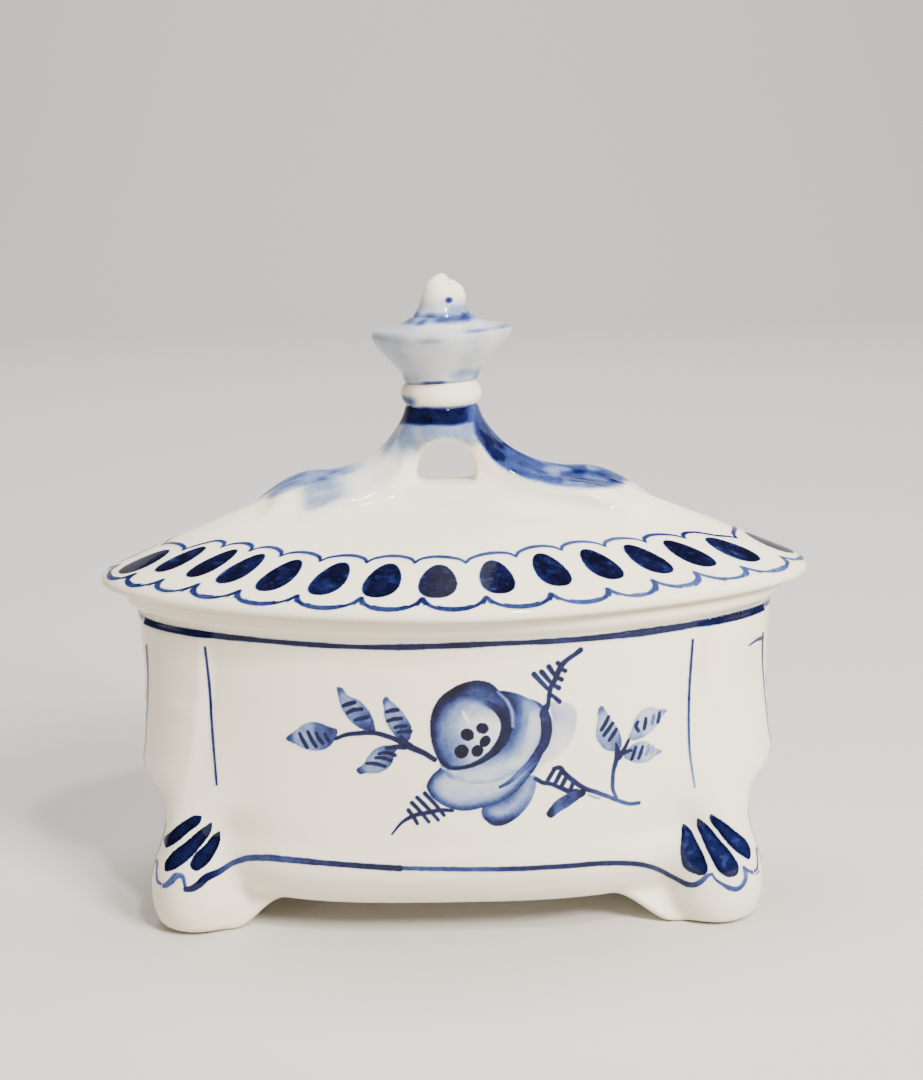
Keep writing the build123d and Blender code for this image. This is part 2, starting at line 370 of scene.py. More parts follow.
def bud_field(p):
    x, y, z = p[..., 0] - KNOP_X, p[..., 1], p[..., 2] - SEAT - BUD_Z
    h = BUD_TOP - BUD_Z + 0.5
    r = np.hypot(x - 0.45, y)
    r_at = curve(z, [-1.6, 0.0, 2.0, 4.2, 5.4, 6.6, h], [5.7, 5.1, 4.05, 3.35, 2.85, 1.9, 0.7])
    d = (r - r_at) * 0.85
    d = smooth_max(d, z - h + 0.1, 2.2)
    side = np.sqrt(((x - 2.9) / 1.75) ** 2 + ((y + 0.3) / 2.1) ** 2 + ((z - 2.9) / 2.9) ** 2) - 1.0
    d = smooth_min(d, side * 1.7, 0.7)
    groove = np.abs((x - 2.1) * 0.9 + (z - 5.6) * 0.2) - 0.22
    d = d + 0.40 * step(-groove, -0.5, 0.3) * step(z, 3.8, 5.4)
    return smooth_max(d, -(z + 1.4), 0.6)


# ------------------------------------------------------------------ skins


def field_normal(field, p, e=0.04):
    n = np.empty_like(p)
    for axis in range(3):
        d = np.zeros(3)
        d[axis] = e
        n[:, axis] = field(p + d) - field(p - d)
    length = np.linalg.norm(n, axis=1, keepdims=True)
    return n / np.maximum(length, 1e-9), length[:, 0] / (2 * e)


def surface_net(field, low, high, h):
    """Quads on the zero level of a field, by naive surface nets."""
    axes = [np.arange(low[i], high[i] + h, h) for i in range(3)]
    shape = tuple(len(a) for a in axes)
    values = np.empty(shape)
    gy, gz = np.meshgrid(axes[1], axes[2], indexing="ij")
    for i, x in enumerate(axes[0]):
        values[i] = field(np.stack([np.full_like(gy, x), gy, gz], -1))
    inside = values < 0
    corner = [(i, j, k) for i in (0, 1) for j in (0, 1) for k in (0, 1)]
    nx, ny, nz = (n - 1 for n in shape)
    count = np.zeros((nx, ny, nz), np.int8)
    for i, j, k in corner:
        count += inside[i : i + nx, j : j + ny, k : k + nz]
    active = (count > 0) & (count < 8)
    index = np.full((nx, ny, nz), -1, np.int64)
    cells = np.argwhere(active)
    index[active] = np.arange(len(cells))
    total = np.zeros((len(cells), 3))
    hits = np.zeros(len(cells))
    edges = [(a, b) for a in corner for b in corner if sum(abs(np.subtract(a, b))) == 1 and a < b]
    for a, b in edges:
        va = values[tuple((cells + a).T)]
        vb = values[tuple((cells + b).T)]
        cross = (va < 0) != (vb < 0)
        t = np.where(cross, va / np.where(cross, va - vb, 1.0), 0.0)
        point = np.array(a) + t[:, None] * (np.array(b) - np.array(a))
        total += np.where(cross[:, None], point, 0.0)
        hits += cross
    verts = np.array([a[0] for a in axes]) + (cells + total / hits[:, None]) * h
    faces = []
    for axis in range(3):
        u, v = [a for a in range(3) if a != axis]
        a_in = inside[tuple(slice(0, n - 1) if d == axis else slice(None) for d, n in enumerate(shape))]
        b_in = inside[tuple(slice(1, n) if d == axis else slice(None) for d, n in enumerate(shape))]
        spots = np.argwhere(a_in != b_in)
        good = (spots[:, u] > 0) & (spots[:, v] > 0) & (
            spots[:, u] < shape[u] - 1
        ) & (spots[:, v] < shape[v] - 1)
        spots = spots[good]
        du = np.zeros(3, int)
        dv = np.zeros(3, int)
        du[u] = 1
        dv[v] = 1
        q = np.stack(
            [
                index[tuple((spots - du - dv).T)], index[tuple((spots - dv).T)], index[tuple(spots.T)],
                index[tuple((spots - du).T)],
            ],
            1,
        )
        leaving = a_in[tuple(spots.T)]
        if axis == 1:
            leaving = ~leaving
        q[~leaving] = q[~leaving][:, ::-1]
        faces.append(q)
    return verts, np.concatenate(faces)


def settle(field, p, rounds=3):
    """Moves points on to the zero level of a field."""
    for _ in range(rounds):
        n, slope = field_normal(field, p)
        p = p - n * np.clip(field(p) / np.maximum(slope, 0.3), -0.5, 0.5)[:, None]
    return p


def put_attribute(mesh, name, values):
    attribute = mesh.attributes.new(name, "FLOAT", "POINT")
    attribute.data.foreach_set("value", np.asarray(values, np.float32))


def make_object(name, verts, faces, normals, material, ink=None, pool=None):
    mesh = bpy.data.meshes.new(name)
    mesh.vertices.add(len(verts))
    mesh.vertices.foreach_set("co", (np.asarray(verts) * 0.001).astype(np.float32).ravel())
    mesh.loops.add(faces.size)
    mesh.loops.foreach_set("vertex_index", faces.astype(np.int32).ravel())
    mesh.polygons.add(len(faces))
    sides = faces.shape[1]
    mesh.polygons.foreach_set("loop_start", np.arange(len(faces), dtype=np.int32) * sides)
    mesh.polygons.foreach_set("loop_total", np.full(len(faces), sides, np.int32))
    mesh.update(calc_edges=True)
    mesh.polygons.foreach_set("use_smooth", np.ones(len(faces), bool))
    put_attribute(mesh, "ink", np.zeros(len(verts)) if ink is None else ink)
    put_attribute(mesh, "pool", np.zeros(len(verts)) if pool is None else pool)
    mesh.normals_split_custom_set_from_vertices([tuple(n) for n in normals])
    mesh.materials.append(material)
    obj = bpy.data.objects.new(name, mesh)
    bpy.context.scene.collection.objects.link(obj)
    return obj


def hollowness(field, p, n, reach=0.9):
    """0 on flat or rounded glaze, towards 1 in a crease, where glaze pools and where the colour is darkened
    as painted shade.
    """
    return np.clip((reach - field(p + n * reach)) / reach * 1.6, 0.0, 1.0)


def skin_from(name, field, verts, faces, material, ink=None):
    verts = settle(field, verts)
    normals, _ = field_normal(field, verts)
    # pool: how deep a crease is, used both for pooled glaze and for painted crease shade
    pool = hollowness(field, verts, normals)
    tone = None if ink is None else ink(verts, normals)
    return make_object(name, verts, faces, normals, material, tone, pool)


# ------------------------------------------------------------------ materials


def ramp(tree, stops):
    n = tree.nodes.new("ShaderNodeValToRGB")
    while len(n.color_ramp.elements) < len(stops):
        n.color_ramp.elements.new(0.5)
    for element, (place, colour) in zip(n.color_ramp.elements, stops):
        element.position = place
        element.color = (*colour, 1.0)
    return n


def mix_rgb(tree, kind, factor, a, b):
    n = tree.nodes.new("ShaderNodeMix")
    n.data_type = "RGBA"
    n.blend_type = kind
    for socket, value in ((n.inputs["Factor"], factor), (n.inputs[6], a), (n.inputs[7], b)):
        if isinstance(value, bpy.types.NodeSocket):
            tree.links.new(value, socket)
        else:
            socket.default_value = value
    return n.outputs[2]


def maths(tree, operation, a, b):
    n = tree.nodes.new("ShaderNodeMath")
    n.operation = operation
    for socket, value in zip(n.inputs, (a, b)):
        if isinstance(value, bpy.types.NodeSocket):
            tree.links.new(value, socket)
        else:
            socket.default_value = value
    return n.outputs[0]


def noise(tree, coords, scale, detail=2.0, rough=0.5):
    n = tree.nodes.new("ShaderNodeTexNoise")
    n.inputs["Scale"].default_value = scale
    n.inputs["Detail"].default_value = detail
    n.inputs["Roughness"].default_value = rough
    tree.links.new(coords, n.inputs["Vector"])
    return n.outputs["Fac"]


def glaze_material(name):
    """Clear glossy glaze over a cream body, with cobalt where the ink attribute says so."""
    m = bpy.data.materials.new(name)
    m.use_nodes = True
    tree = m.node_tree
    tree.nodes.clear()
    out = tree.nodes.new("ShaderNodeOutputMaterial")
    shader = tree.nodes.new("ShaderNodeBsdfPrincipled")
    tree.links.new(shader.outputs[0], out.inputs[0])
    coords = tree.nodes.new("ShaderNodeTexCoord").outputs["Object"]
    ink = tree.nodes.new("ShaderNodeAttribute")
    ink.attribute_name = "ink"
    pool = tree.nodes.new("ShaderNodeAttribute")
    pool.attribute_name = "pool"
    # body colour: broad cream drift, creases darkened for pooled glaze and as painted shade, a few iron
    # specks
    drift = ramp(tree, [(0.30, (0.92, 0.845, 0.69)), (0.70, (0.95, 0.90, 0.77))])
    tree.links.new(noise(tree, coords, 28.0, 3.0, 0.55), drift.inputs[0])
    # the pool attribute darkens creases towards grey: pooled glaze and painted shade together
    share = maths(tree, "MULTIPLY", pool.outputs["Fac"], 0.55)
    pooled_glaze_and_crease_shade = mix_rgb(tree, "MIX", share, drift.outputs[0], (0.68, 0.64, 0.565, 1.0))
    specks = tree.nodes.new("ShaderNodeTexVoronoi")
    specks.inputs["Scale"].default_value = 95.0
    tree.links.new(coords, specks.inputs["Vector"])
    speck = ramp(tree, [(0.0, (0.55, 0.45, 0.36)), (0.035, (1.0, 1.0, 1.0))])
    tree.links.new(specks.outputs["Distance"], speck.inputs[0])
    body = mix_rgb(tree, "MULTIPLY", 0.8, pooled_glaze_and_crease_shade, speck.outputs[0])
    # cobalt: density with fine granulation and soft brush unevenness
    grain = noise(tree, coords, 1500.0, 2.0, 0.6)
    cloud = noise(tree, coords, 260.0, 2.0, 0.5)
    grain = maths(tree, "MULTIPLY", maths(tree, "SUBTRACT", grain, 0.5), 0.34)
    cloud = maths(tree, "MULTIPLY", maths(tree, "SUBTRACT", cloud, 0.5), 0.34)
    shift = maths(tree, "ADD", grain, cloud)
    shown = maths(tree, "MULTIPLY", ink.outputs["Fac"], maths(tree, "ADD", 1.0, shift))
    pigment = ramp(
        tree,
        [
            (0.0, (1.0, 1.0, 1.0)),
            (0.16, (0.60, 0.68, 0.86)),
            (0.36, (0.20, 0.29, 0.60)),
            (0.58, (0.042, 0.074, 0.30)),
            (0.80, (0.007, 0.011, 0.080)),
            (1.0, (0.002, 0.002, 0.016)),
        ],
    )
    tree.links.new(shown, pigment.inputs[0])
    colour = mix_rgb(tree, "MULTIPLY", 1.0, body, pigment.outputs[0])
    tree.links.new(colour, shader.inputs["Base Color"])
    # glaze: mostly mirror-smooth, faint orange peel
    polish = ramp(tree, [(0.3, (0.049,) * 3), (0.7, (0.112,) * 3)])
    tree.links.new(noise(tree, coords, 120.0, 2.0), polish.inputs[0])
    tree.links.new(polish.outputs[0], shader.inputs["Roughness"])
    shader.inputs["IOR"].default_value = 1.52
    shader.inputs["Specular IOR Level"].default_value = 0.26
    shader.inputs["Subsurface Weight"].default_value = 0.0
    peel = tree.nodes.new("ShaderNodeBump")
    peel.inputs["Strength"].default_value = 0.22
    peel.inputs["Distance"].default_value = 0.0003
    tree.links.new(noise(tree, coords, 210.0, 3.0, 0.45), peel.inputs["Height"])
    tree.links.new(peel.outputs[0], shader.inputs["Normal"])
    return m


def bisque_material(name):
    """Bare fired clay where the feet were wiped clean of glaze."""
    m = bpy.data.materials.new(name)
    m.use_nodes = True
    tree = m.node_tree
    shader = tree.nodes["Principled BSDF"]
    coords = tree.nodes.new("ShaderNodeTexCoord").outputs["Object"]
    clay = ramp(tree, [(0.3, (0.62, 0.55, 0.45)), (0.7, (0.76, 0.70, 0.60))])
    tree.links.new(noise(tree, coords, 420.0, 4.0, 0.6), clay.inputs[0])
    tree.links.new(clay.outputs[0], shader.inputs["Base Color"])
    shader.inputs["Roughness"].default_value = 0.85
    grit = tree.nodes.new("ShaderNodeBump")
    grit.inputs["Strength"].default_value = 0.4
    grit.inputs["Distance"].default_value = 0.0002
    tree.links.new(noise(tree, coords, 2200.0, 3.0), grit.inputs["Height"])
    tree.links.new(grit.outputs[0], shader.inputs["Normal"])
    return m


# ------------------------------------------------------------------ brushes


def mottle(u, v, size, seed):
    """Soft random patches between 0 and 1."""
    table = np.random.default_rng(seed).random((61, 61))
    a = np.asarray(u) / size + 30.0
    b = np.asarray(v) / size + 30.0
    i = np.floor(a).astype(int)
    j = np.floor(b).astype(int)
    s = a - i
    t = b - j
    s = s * s * (3 - 2 * s)
    t = t * t * (3 - 2 * t)
    i, j, k, m = i % 61, j % 61, (i + 1) % 61, (j + 1) % 61
    low = table[i, j] * (1 - s) + table[k, j] * s
    high = table[i, m] * (1 - s) + table[k, m] * s
    return low * (1 - t) + high * t


def trail(points, closed=False, gap=0.12):
    """Points close together along a smooth line, with their share of its length."""
    p = np.asarray(points, float)
    if closed:
        p = np.vstack([p[-3:], p, p[:3]])
    s = np.concatenate([[0.0], np.cumsum(np.linalg.norm(np.diff(p, axis=0), axis=1))])
    low, high = (s[3], s[-3]) if closed else (s[0], s[-1])
    t = np.linspace(low, high, max(3, int((high - low) / gap) + 1))
    if closed:
        t = t[:-1]
    return np.stack([curve(t, s, p[:, 0]), curve(t, s, p[:, 1])], -1), (t - low) / (high - low)


def along(f, values):
    """A value that changes evenly along a stroke."""
    values = np.atleast_1d(np.asarray(values, float))
    if len(values) == 1:
        return np.full(np.shape(f), values[0])
    return np.interp(f, np.linspace(0, 1, len(values)), values)


class Sheet:
    """A patch of painting: u across, v up, both in millimetres, with cobalt density."""

    def __init__(self, u0, u1, v0, v1, gap=0.14):
        self.u = np.arange(u0, u1, gap)
        self.v = np.arange(v0, v1, gap)
        self.ink = np.zeros((len(self.u), len(self.v)))

    def near(self, line, margin):
        """The part of the sheet round a line, and the distance to the line there."""
        low = line.min(0) - margin
        high = line.max(0) + margin
        i = slice(*np.searchsorted(self.u, (low[0], high[0])))
        j = slice(*np.searchsorted(self.v, (low[1], high[1])))
        u, v = np.meshgrid(self.u[i], self.v[j], indexing="ij")
        if u.size == 0:
            return (i, j), u, v, u, u.astype(int)
        best = np.full(u.shape, 1e9)
        which = np.zeros(u.shape, int)
        for k, (a, b) in enumerate(line):
            d = (u - a) ** 2 + (v - b) ** 2
            closer = d < best
            best = np.where(closer, d, best)
            which = np.where(closer, k, which)
        return (i, j), u, v, np.sqrt(best), which

    def stroke(self, points, widths, tones=0.92, soft=0.10, cover_up=False):
        """One pull of a round brush; pigment gathers towards the edge of the mark."""
        line, share = trail(points)
        widths = np.atleast_1d(np.asarray(widths, float))
        spot, u, v, d, which = self.near(line, widths.max() / 2 + soft + 0.3)
        if u.size == 0:
            return
        f = share[which]
        half = along(f, widths) / 2 * (0.92 + 0.16 * mottle(u, v, 0.9, 7))
        cover = 1.0 - step(d, half - soft, half + soft)
        tone = along(f, tones) * (0.90 + 0.10 * np.minimum(d / half, 1.0) ** 2)
        self.lay(spot, cover, tone, cover_up)

    def patch(self, points, shade, soft=0.10):
        """A filled shape; shade gives its density from u, v and depth inside the edge."""
        line, _ = trail(points, True, 0.16)
        spot, u, v, d, _ = self.near(line, 0.6)
        if u.size == 0:
            return
        inside = np.zeros(u.shape, bool)
        for (a, b), (c, e) in zip(line, np.roll(line, -1, 0)):
            if b != e:
                inside ^= ((b > v) != (e > v)) & (u < a + (v - b) / (e - b) * (c - a))
        depth = np.where(inside, d, -d)
        edge = soft(u, v) if callable(soft) else soft
        self.lay(spot, step(depth, -edge, edge), shade(u, v, np.maximum(depth, 0.0)), True)

    def lay(self, spot, cover, tone, cover_up):
        under = self.ink[spot]
        if cover_up:
            self.ink[spot] = under * (1 - cover) + tone * cover
        else:
            self.ink[spot] = np.maximum(under, tone * cover)


def slide(field, p, way, rounds=5):
    """Moves points along their own fixed directions on to the zero level."""
    for _ in range(rounds):
        f = field(p)
        g = (field(p + way * 0.05) - f) / 0.05
        g = np.where(np.abs(g) < 0.25, np.where(g < 0, -0.25, 0.25), g)
        p = p - way * np.clip(f / g, -1.6, 1.6)[:, None]
    return p


def touch_down(skin, p, normals, lift):
    """Rests points on the skin that lies under them."""
    out = p + normals * lift
    for k, (a, n) in enumerate(zip(p + normals * 1.5, normals)):
        hit = skin.ray_cast(Vector(a), Vector(-n), 3.0)[0]
        if hit is not None:
            out[k] = np.array(hit) + n * lift
    return out


def lay_film(name, sheet, place, field, skin, body, material, lift=0.045):
    """Makes the painted part of a sheet into a film that hugs the glaze."""
    wet = sheet.ink > 0.012
    grown = wet.copy()
    grown[1:] |= wet[:-1]
    grown[:-1] |= wet[1:]
    grown[:, 1:] |= grown[:, :-1].copy()
    grown[:, :-1] |= grown[:, 1:].copy()
    cells = grown[:-1, :-1] & grown[1:, :-1] & grown[1:, 1:] & grown[:-1, 1:]
    used = np.zeros(wet.shape, bool)
    used[:-1, :-1] |= cells
    used[1:, :-1] |= cells
    used[1:, 1:] |= cells
    used[:-1, 1:] |= cells
    index = np.full(wet.shape, -1)
    index[used] = np.arange(used.sum())
    i, j = np.nonzero(used)
    verts = place(sheet.u[i], sheet.v[j])
    normals, _ = field_normal(field, verts)
    a, b = np.nonzero(cells)
    faces = np.stack([index[a, b], index[a + 1, b], index[a + 1, b + 1], index[a, b + 1]], 1)
    across = np.cross(verts[faces[:, 1]] - verts[faces[:, 0]], verts[faces[:, 3]] - verts[faces[:, 0]])
    if np.sum(across * normals[faces[:, 0]]) < 0:
        faces = faces[:, ::-1]
    pool = hollowness(field, verts, normals)
    film = make_object(
        name, touch_down(skin, verts, normals, lift), faces, normals, material, sheet.ink[used], pool,
    )
    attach(film, body)
    return film


# Millimetres of painting to a radian round a foot and round the rim, and the border's inset
FOOT_R = 8.0
RING_R = 50.0
BORDER_INSET = 8.0


def front_place(u, v, turn=1.0):
    """Front wall: u along the box, v up. turn is -1 on the back."""
    a, b, n = wall_outline(v)
    y = bow(u, a, b, n)
    foot = LEG_Y[0] + np.sqrt(np.maximum(68.0 - (np.abs(u) - LEG_X[0]) ** 2, 0.0))
    on_foot = (v < 21.0) & (np.abs(u) > 36.8)
    y = -np.where(on_foot, np.where(np.abs(u) > 46.0, foot, np.maximum(y, foot)), y) - 0.5
    p = np.stack([u * turn, y * turn, v], -1)
    return slide(box_field, p, np.tile([0.0, 1.0 * turn, 0.0], (len(p), 1)), 8)


def end_place(u, v, turn=1.0):
    """End wall: u from back to front, v up. turn is -1 on the left."""
    a, b, n = wall_outline(v)
    p = np.stack([bow(u, b, a, n) * turn, -u, v], -1)
    return slide(box_field, p, np.tile([-1.0 * turn, 0.0, 0.0], (len(p), 1)))


def ring_place(u, v):
    """All round the wall: u is 50 mm times the direction's angle from the front."""
    t = u / RING_R
    a, b, n = wall_outline(v)
    a, b = a + rim_reach(v), b + rim_reach(v)
    r = (np.abs(np.sin(t) / a) ** n + np.abs(np.cos(t) / b) ** n) ** (-1.0 / n)
    way = np.stack([np.sin(t), -np.cos(t), 0 * t], -1)
    p = way * r[:, None]
    p[:, 2] = v
    return slide(box_field, p, -way)


def foot_place(u, v, side, place):
    """Round a foot: u is 8 mm times the angle from straight ahead, outwards."""
    t = u / FOOT_R
    way = np.stack([side * np.sin(t), place * np.cos(t), 0 * t], -1)
    p = np.array([side * LEG_X[0], place * LEG_Y[0], 0.0]) + way * curve(v, LEG_Z, LEG_R)[:, None]
    p[:, 2] = v
    return slide(box_field, p, -way, 8)


def lid_outline(inset):
    """The lid's outline at an inset, from the right tip round by the front, and the way along it."""
    t = np.linspace(0, 2 * np.pi, 3600)
    a = LID_A + SLACK - inset
    b = LID_B + SLACK - inset
    x = a * np.sign(np.cos(t)) * np.abs(np.cos(t)) ** (2 / LID_N)
    y = -b * np.sign(np.sin(t)) * np.abs(np.sin(t)) ** (2 / LID_N)
    length = np.concatenate([[0.0], np.cumsum(np.hypot(np.diff(x), np.diff(y)))])
    return x, y, length


border_x, border_y, border_u = lid_outline(BORDER_INSET)
BORDER_LENGTH = border_u[-1]


def border_place(u, v):
    """Lid border: u runs from the right tip round by the front, v up the slope."""
    bend = np.clip(v, -1.0, 2.2) / 2.2 * 1.17
    inset = SLACK + np.where(v < 2.2, 1.9 * (1 - np.cos(bend)), 1.16 + (v - 2.2) * 0.92)
    p = np.zeros((len(u), 3))
    for value in np.unique(v):
        row = v == value
        x, y, length = lid_outline(inset[row][0])
        at = (u[row] / BORDER_LENGTH % 1.0) * length[-1]
        p[row, 0] = np.interp(at, length, x)
        p[row, 1] = np.interp(at, length, y)
    p[:, 2] = SEAT + np.where(v < 2.2, 1.8 + 1.9 * np.sin(bend), lid_height(inset))
    return settle(lid_field, p, 4)


# ------------------------------------------------------------------ motifs


def leaf(sheet, outline, base, tip, low, high, cuts, cut_tones=0.95, width=0.70):
    """A leaf wash, pale at the tip end and dark at its base, with cross strokes."""
    base = np.array(base)
    way = np.array(tip) - base
    length = np.hypot(*way)

    def shade(u, v, depth):
        f = np.clip(((u - base[0]) * way[0] + (v - base[1]) * way[1]) / length**2, 0, 1)
        wash = high + (low - high) * step(f, 0.0, 0.62)
        touch = 0.26 * step(f, 0.80, 0.94) * (high / 0.6)
        brush = 0.82 + 0.36 * mottle(u, v, 1.1, 12)
        return (wash + touch) * brush + 0.14 * high * np.exp(-((depth / 0.35) ** 2))

    sheet.patch(outline, shade)
    for k, cut in enumerate(cuts):
        tone = cut_tones if np.isscalar(cut_tones) else cut_tones[k]
        sheet.stroke(cut, (width * 0.85, width * 1.08, width * 0.95), tone)


def rose_spray(s):
    """The flower, its buds, ferns and two sprigs of leaves."""
    pale = [
        (15.8, 41.9), (17.1, 41.9), (18.6, 41.5), (19.9, 40.4), (20.0, 38.5), (19.7, 36.4), (18.7, 34.5),
        (16.8, 32.7), (14.4, 31.3), (13.3, 30.2), (12.5, 29.9), (13.3, 31.8), (14.6, 34.0), (15.6, 36.4),
        (16.0, 38.8),
    ]
    s.patch(
        pale,
        lambda u, v, d: (
            0.09 + 0.16 * step(v, 31.0, 40.0) + 0.05 * step(-u, -17.5, -15.6)
        ) * (0.8 + 0.4 * mottle(u, v, 2.2, 3)),
        0.25,
    )
    # bottom petal: dark along its lower edge
    bottom = [
        (4.2, 25.0), (4.1, 23.1), (5.0, 22.0), (6.0, 21.4), (7.8, 21.5), (9.4, 22.3), (11.2, 23.9),
        (12.5, 25.9), (13.1, 27.8), (12.9, 29.7), (11.5, 29.5), (9.9, 27.5), (7.4, 26.0),
    ]
    s.patch(
        bottom,
        lambda u, v, d: 0.20 + (0.46 - 0.20 * step(u, 8.0, 13.0)) * np.exp(-((d / 1.7) ** 2))
        + 0.20 * step(-v, -24.0, -21.5) + 0.05 * mottle(u, v, 1.4, 5),
        0.10,
    )
    # wide lower petal
    skirt = [
        (-2.7, 31.5), (-4.3, 30.0), (-5.0, 28.4), (-4.4, 26.9), (-2.8, 25.4), (-0.6, 24.4), (1.2, 24.1),
        (4.2, 24.6), (7.0, 25.4), (9.5, 26.9), (11.5, 28.9), (13.2, 31.1), (14.4, 33.4), (15.4, 35.9),
        (15.7, 38.8), (14.9, 41.0), (12.5, 42.6), (6.5, 39.4), (0.4, 33.3),
    ]
    s.patch(
        skirt,
        lambda u, v, d: 0.21 + 0.42 * np.exp(-((d / 1.0) ** 2)) + 0.14 * np.exp(-d / 2.2)
        + 0.06 * mottle(u, v, 1.8, 9),
        0.10,
    )
    # right petal: blue near the heart, pale towards the outside
    right = [
        (7.3, 44.3), (9.7, 43.9), (11.7, 43.0), (13.7, 41.5), (14.2, 40.2), (14.3, 38.5), (14.0, 36.0),
        (13.2, 34.1), (11.8, 32.0), (9.9, 30.5), (7.5, 29.3), (4.3, 28.7), (1.3, 29.0), (-0.7, 30.2),
        (-2.5, 31.5), (4.4, 37.4),
    ]

    def right_shade(u, v, depth):
        out = np.hypot((u - 2.6) / 1.06, (v - 38.6) / 0.95)
        heart = 0.50 * (1.0 - step(out, 6.4, 9.6)) * step(v, 29.5, 36.0)
        top = 0.34 * step(v, 38.5, 43.5)
        rim = 0.10 * np.exp(-((depth / 0.5) ** 2))
        return 0.25 + 0.9 * heart + top * (1 - 0.4 * step(out, 7.0, 11.0)) + rim + 0.07 * (
            mottle(u - v * 0.5, v, 1.6, 21) - 0.5
        )

    s.patch(right, right_shade, 0.12)
    arc = [(11.4, 42.4), (11.5, 40.4), (11.1, 37.9), (10.2, 35.9), (8.4, 34.1), (6.1, 32.5), (3.0, 31.3)]
    s.stroke(arc, (0.8, 1.6, 1.7, 1.4, 1.1, 0.7), (0.34, 0.50, 0.50, 0.42, 0.36, 0.28), 0.45)
    # edge of the skirt under the bowl
    s.stroke([(-2.6, 31.4), (-1.2, 30.3), (0.3, 29.3)], (0.5, 1.1, 0.5), (0.6, 0.5, 0.3), 0.3)
    # the long sweep that divides the petals
    sweep = [
        (15.4, 43.4), (15.3, 41.6), (14.7, 40.5), (14.9, 38.9), (15.0, 37.6), (14.8, 36.0), (14.2, 34.4),
        (13.6, 33.6), (11.9, 31.6), (10.3, 30.2), (8.7, 28.8), (7.1, 28.0),
    ]
    s.stroke(
        sweep, (0.5, 0.8, 1.7, 1.9, 1.9, 1.8, 1.6, 1.4, 1.1, 1.0, 0.8, 0.5),
        (0.92, 0.92, 0.9, 0.92, 0.92, 0.9, 0.86, 0.8, 0.66, 0.6, 0.74, 0.86), 0.14,
    )
    # bowl
    bowl = [
        (-4.2, 38.4), (-3.8, 41.1), (-2.6, 43.3), (-0.6, 44.9), (1.6, 45.9), (4.0, 46.2), (5.8, 45.7),
        (7.3, 44.3), (8.9, 42.4), (9.5, 40.3), (9.4, 38.0), (8.4, 35.8), (6.8, 33.7), (4.7, 32.4),
        (1.9, 31.4), (-0.7, 31.2), (-2.3, 31.9), (-3.2, 33.4), (-3.9, 35.5),
    ]

    def bowl_shade(u, v, depth):
        left = step(-u, -4.5, 3.0)
        rim = np.exp(-((depth / (0.8 + 1.1 * left)) ** 2))
        body = 0.71 + 0.08 * (mottle(u, v, 1.7, 33) - 0.5)
        right_side = step(u, 5.0, 7.4) * step(-v, -42.5, -39.5)
        tone = body + (0.34 * left + 0.22) * rim
        return np.minimum(tone + 0.30 * right_side * (1 - 0.9 * rim), 0.98)

    s.patch(bowl, bowl_shade, 0.10)
    s.stroke(
        [(7.0, 44.2), (8.6, 42.4), (9.3, 40.6), (9.4, 38.2)], (0.3, 0.5, 0.6, 0.4), 0.38, 0.3, cover_up=True,
    )
    s.stroke(
        [
            (3.4, 42.9), (5.6, 42.0), (7.3, 40.3), (8.1, 38.4), (7.9, 36.3), (6.8, 34.7), (5.2, 33.3),
            (3.2, 32.2), (0.6, 31.5), (-1.4, 31.4),
        ],
        (0.8, 1.6, 2.1, 2.3, 2.1, 1.7, 1.3, 1.0, 0.8, 0.6),
        (0.7, 0.86, 0.96, 0.97, 0.97, 0.95, 0.93, 0.9, 0.86, 0.8), 0.35,
    )
    pool = [
        (-3.2, 37.5), (-3.0, 40.0), (-1.4, 41.9), (1.0, 42.9), (3.3, 42.7), (5.3, 41.7), (6.7, 40.4),
        (7.4, 38.9), (7.1, 36.8), (6.2, 35.2), (4.8, 33.7), (3.1, 32.6), (0.9, 31.8), (-0.9, 31.9),
        (-2.4, 33.4), (-3.2, 35.5),
    ]

    def pool_shade(u, v, depth):
        across = u + 0.35 * (v - 37.0)
        fall = 0.46 * (1.0 - step(across, -4.0, 4.8)) + 0.20 * step(v, 38.0, 42.5)
        return 0.12 + fall + 0.08 * (mottle(u, v, 1.5, 41) - 0.4)

    def pool_edge(u, v):
        side = step(u - 0.6 * (v - 37.0), -2.0, 5.0)
        return 1.15 - 1.0 * side

    s.patch(pool, pool_shade, pool_edge)
    s.stroke([(1.2, 41.1), (1.7, 40.1), (2.4, 39.0)], (0.3, 0.7, 0.3), 0.10, 0.15, cover_up=True)
    for (a, b), (w, h), lean in zip(
        [(1.9, 37.1), (4.4, 38.1), (4.8, 35.9), (0.9, 34.3), (3.5, 34.3)],
        [(1.15, 1.0), (1.05, 0.92), (0.85, 1.05), (1.15, 1.2), (0.95, 1.05)], (0.5, 0.4, 0.7, 0.6, 0.7),
    ):
        turn = np.linspace(0, 2 * np.pi, 9)[:-1]
        x = w * np.cos(turn)
        y = h * np.sin(turn)
        dot_u = a + x * math.cos(lean) + y * math.sin(lean)
        dot_v = b - x * math.sin(lean) + y * math.cos(lean)
        s.patch(np.stack([dot_u, dot_v], -1), lambda u, v, d: 0.99 + 0 * u, 0.10)
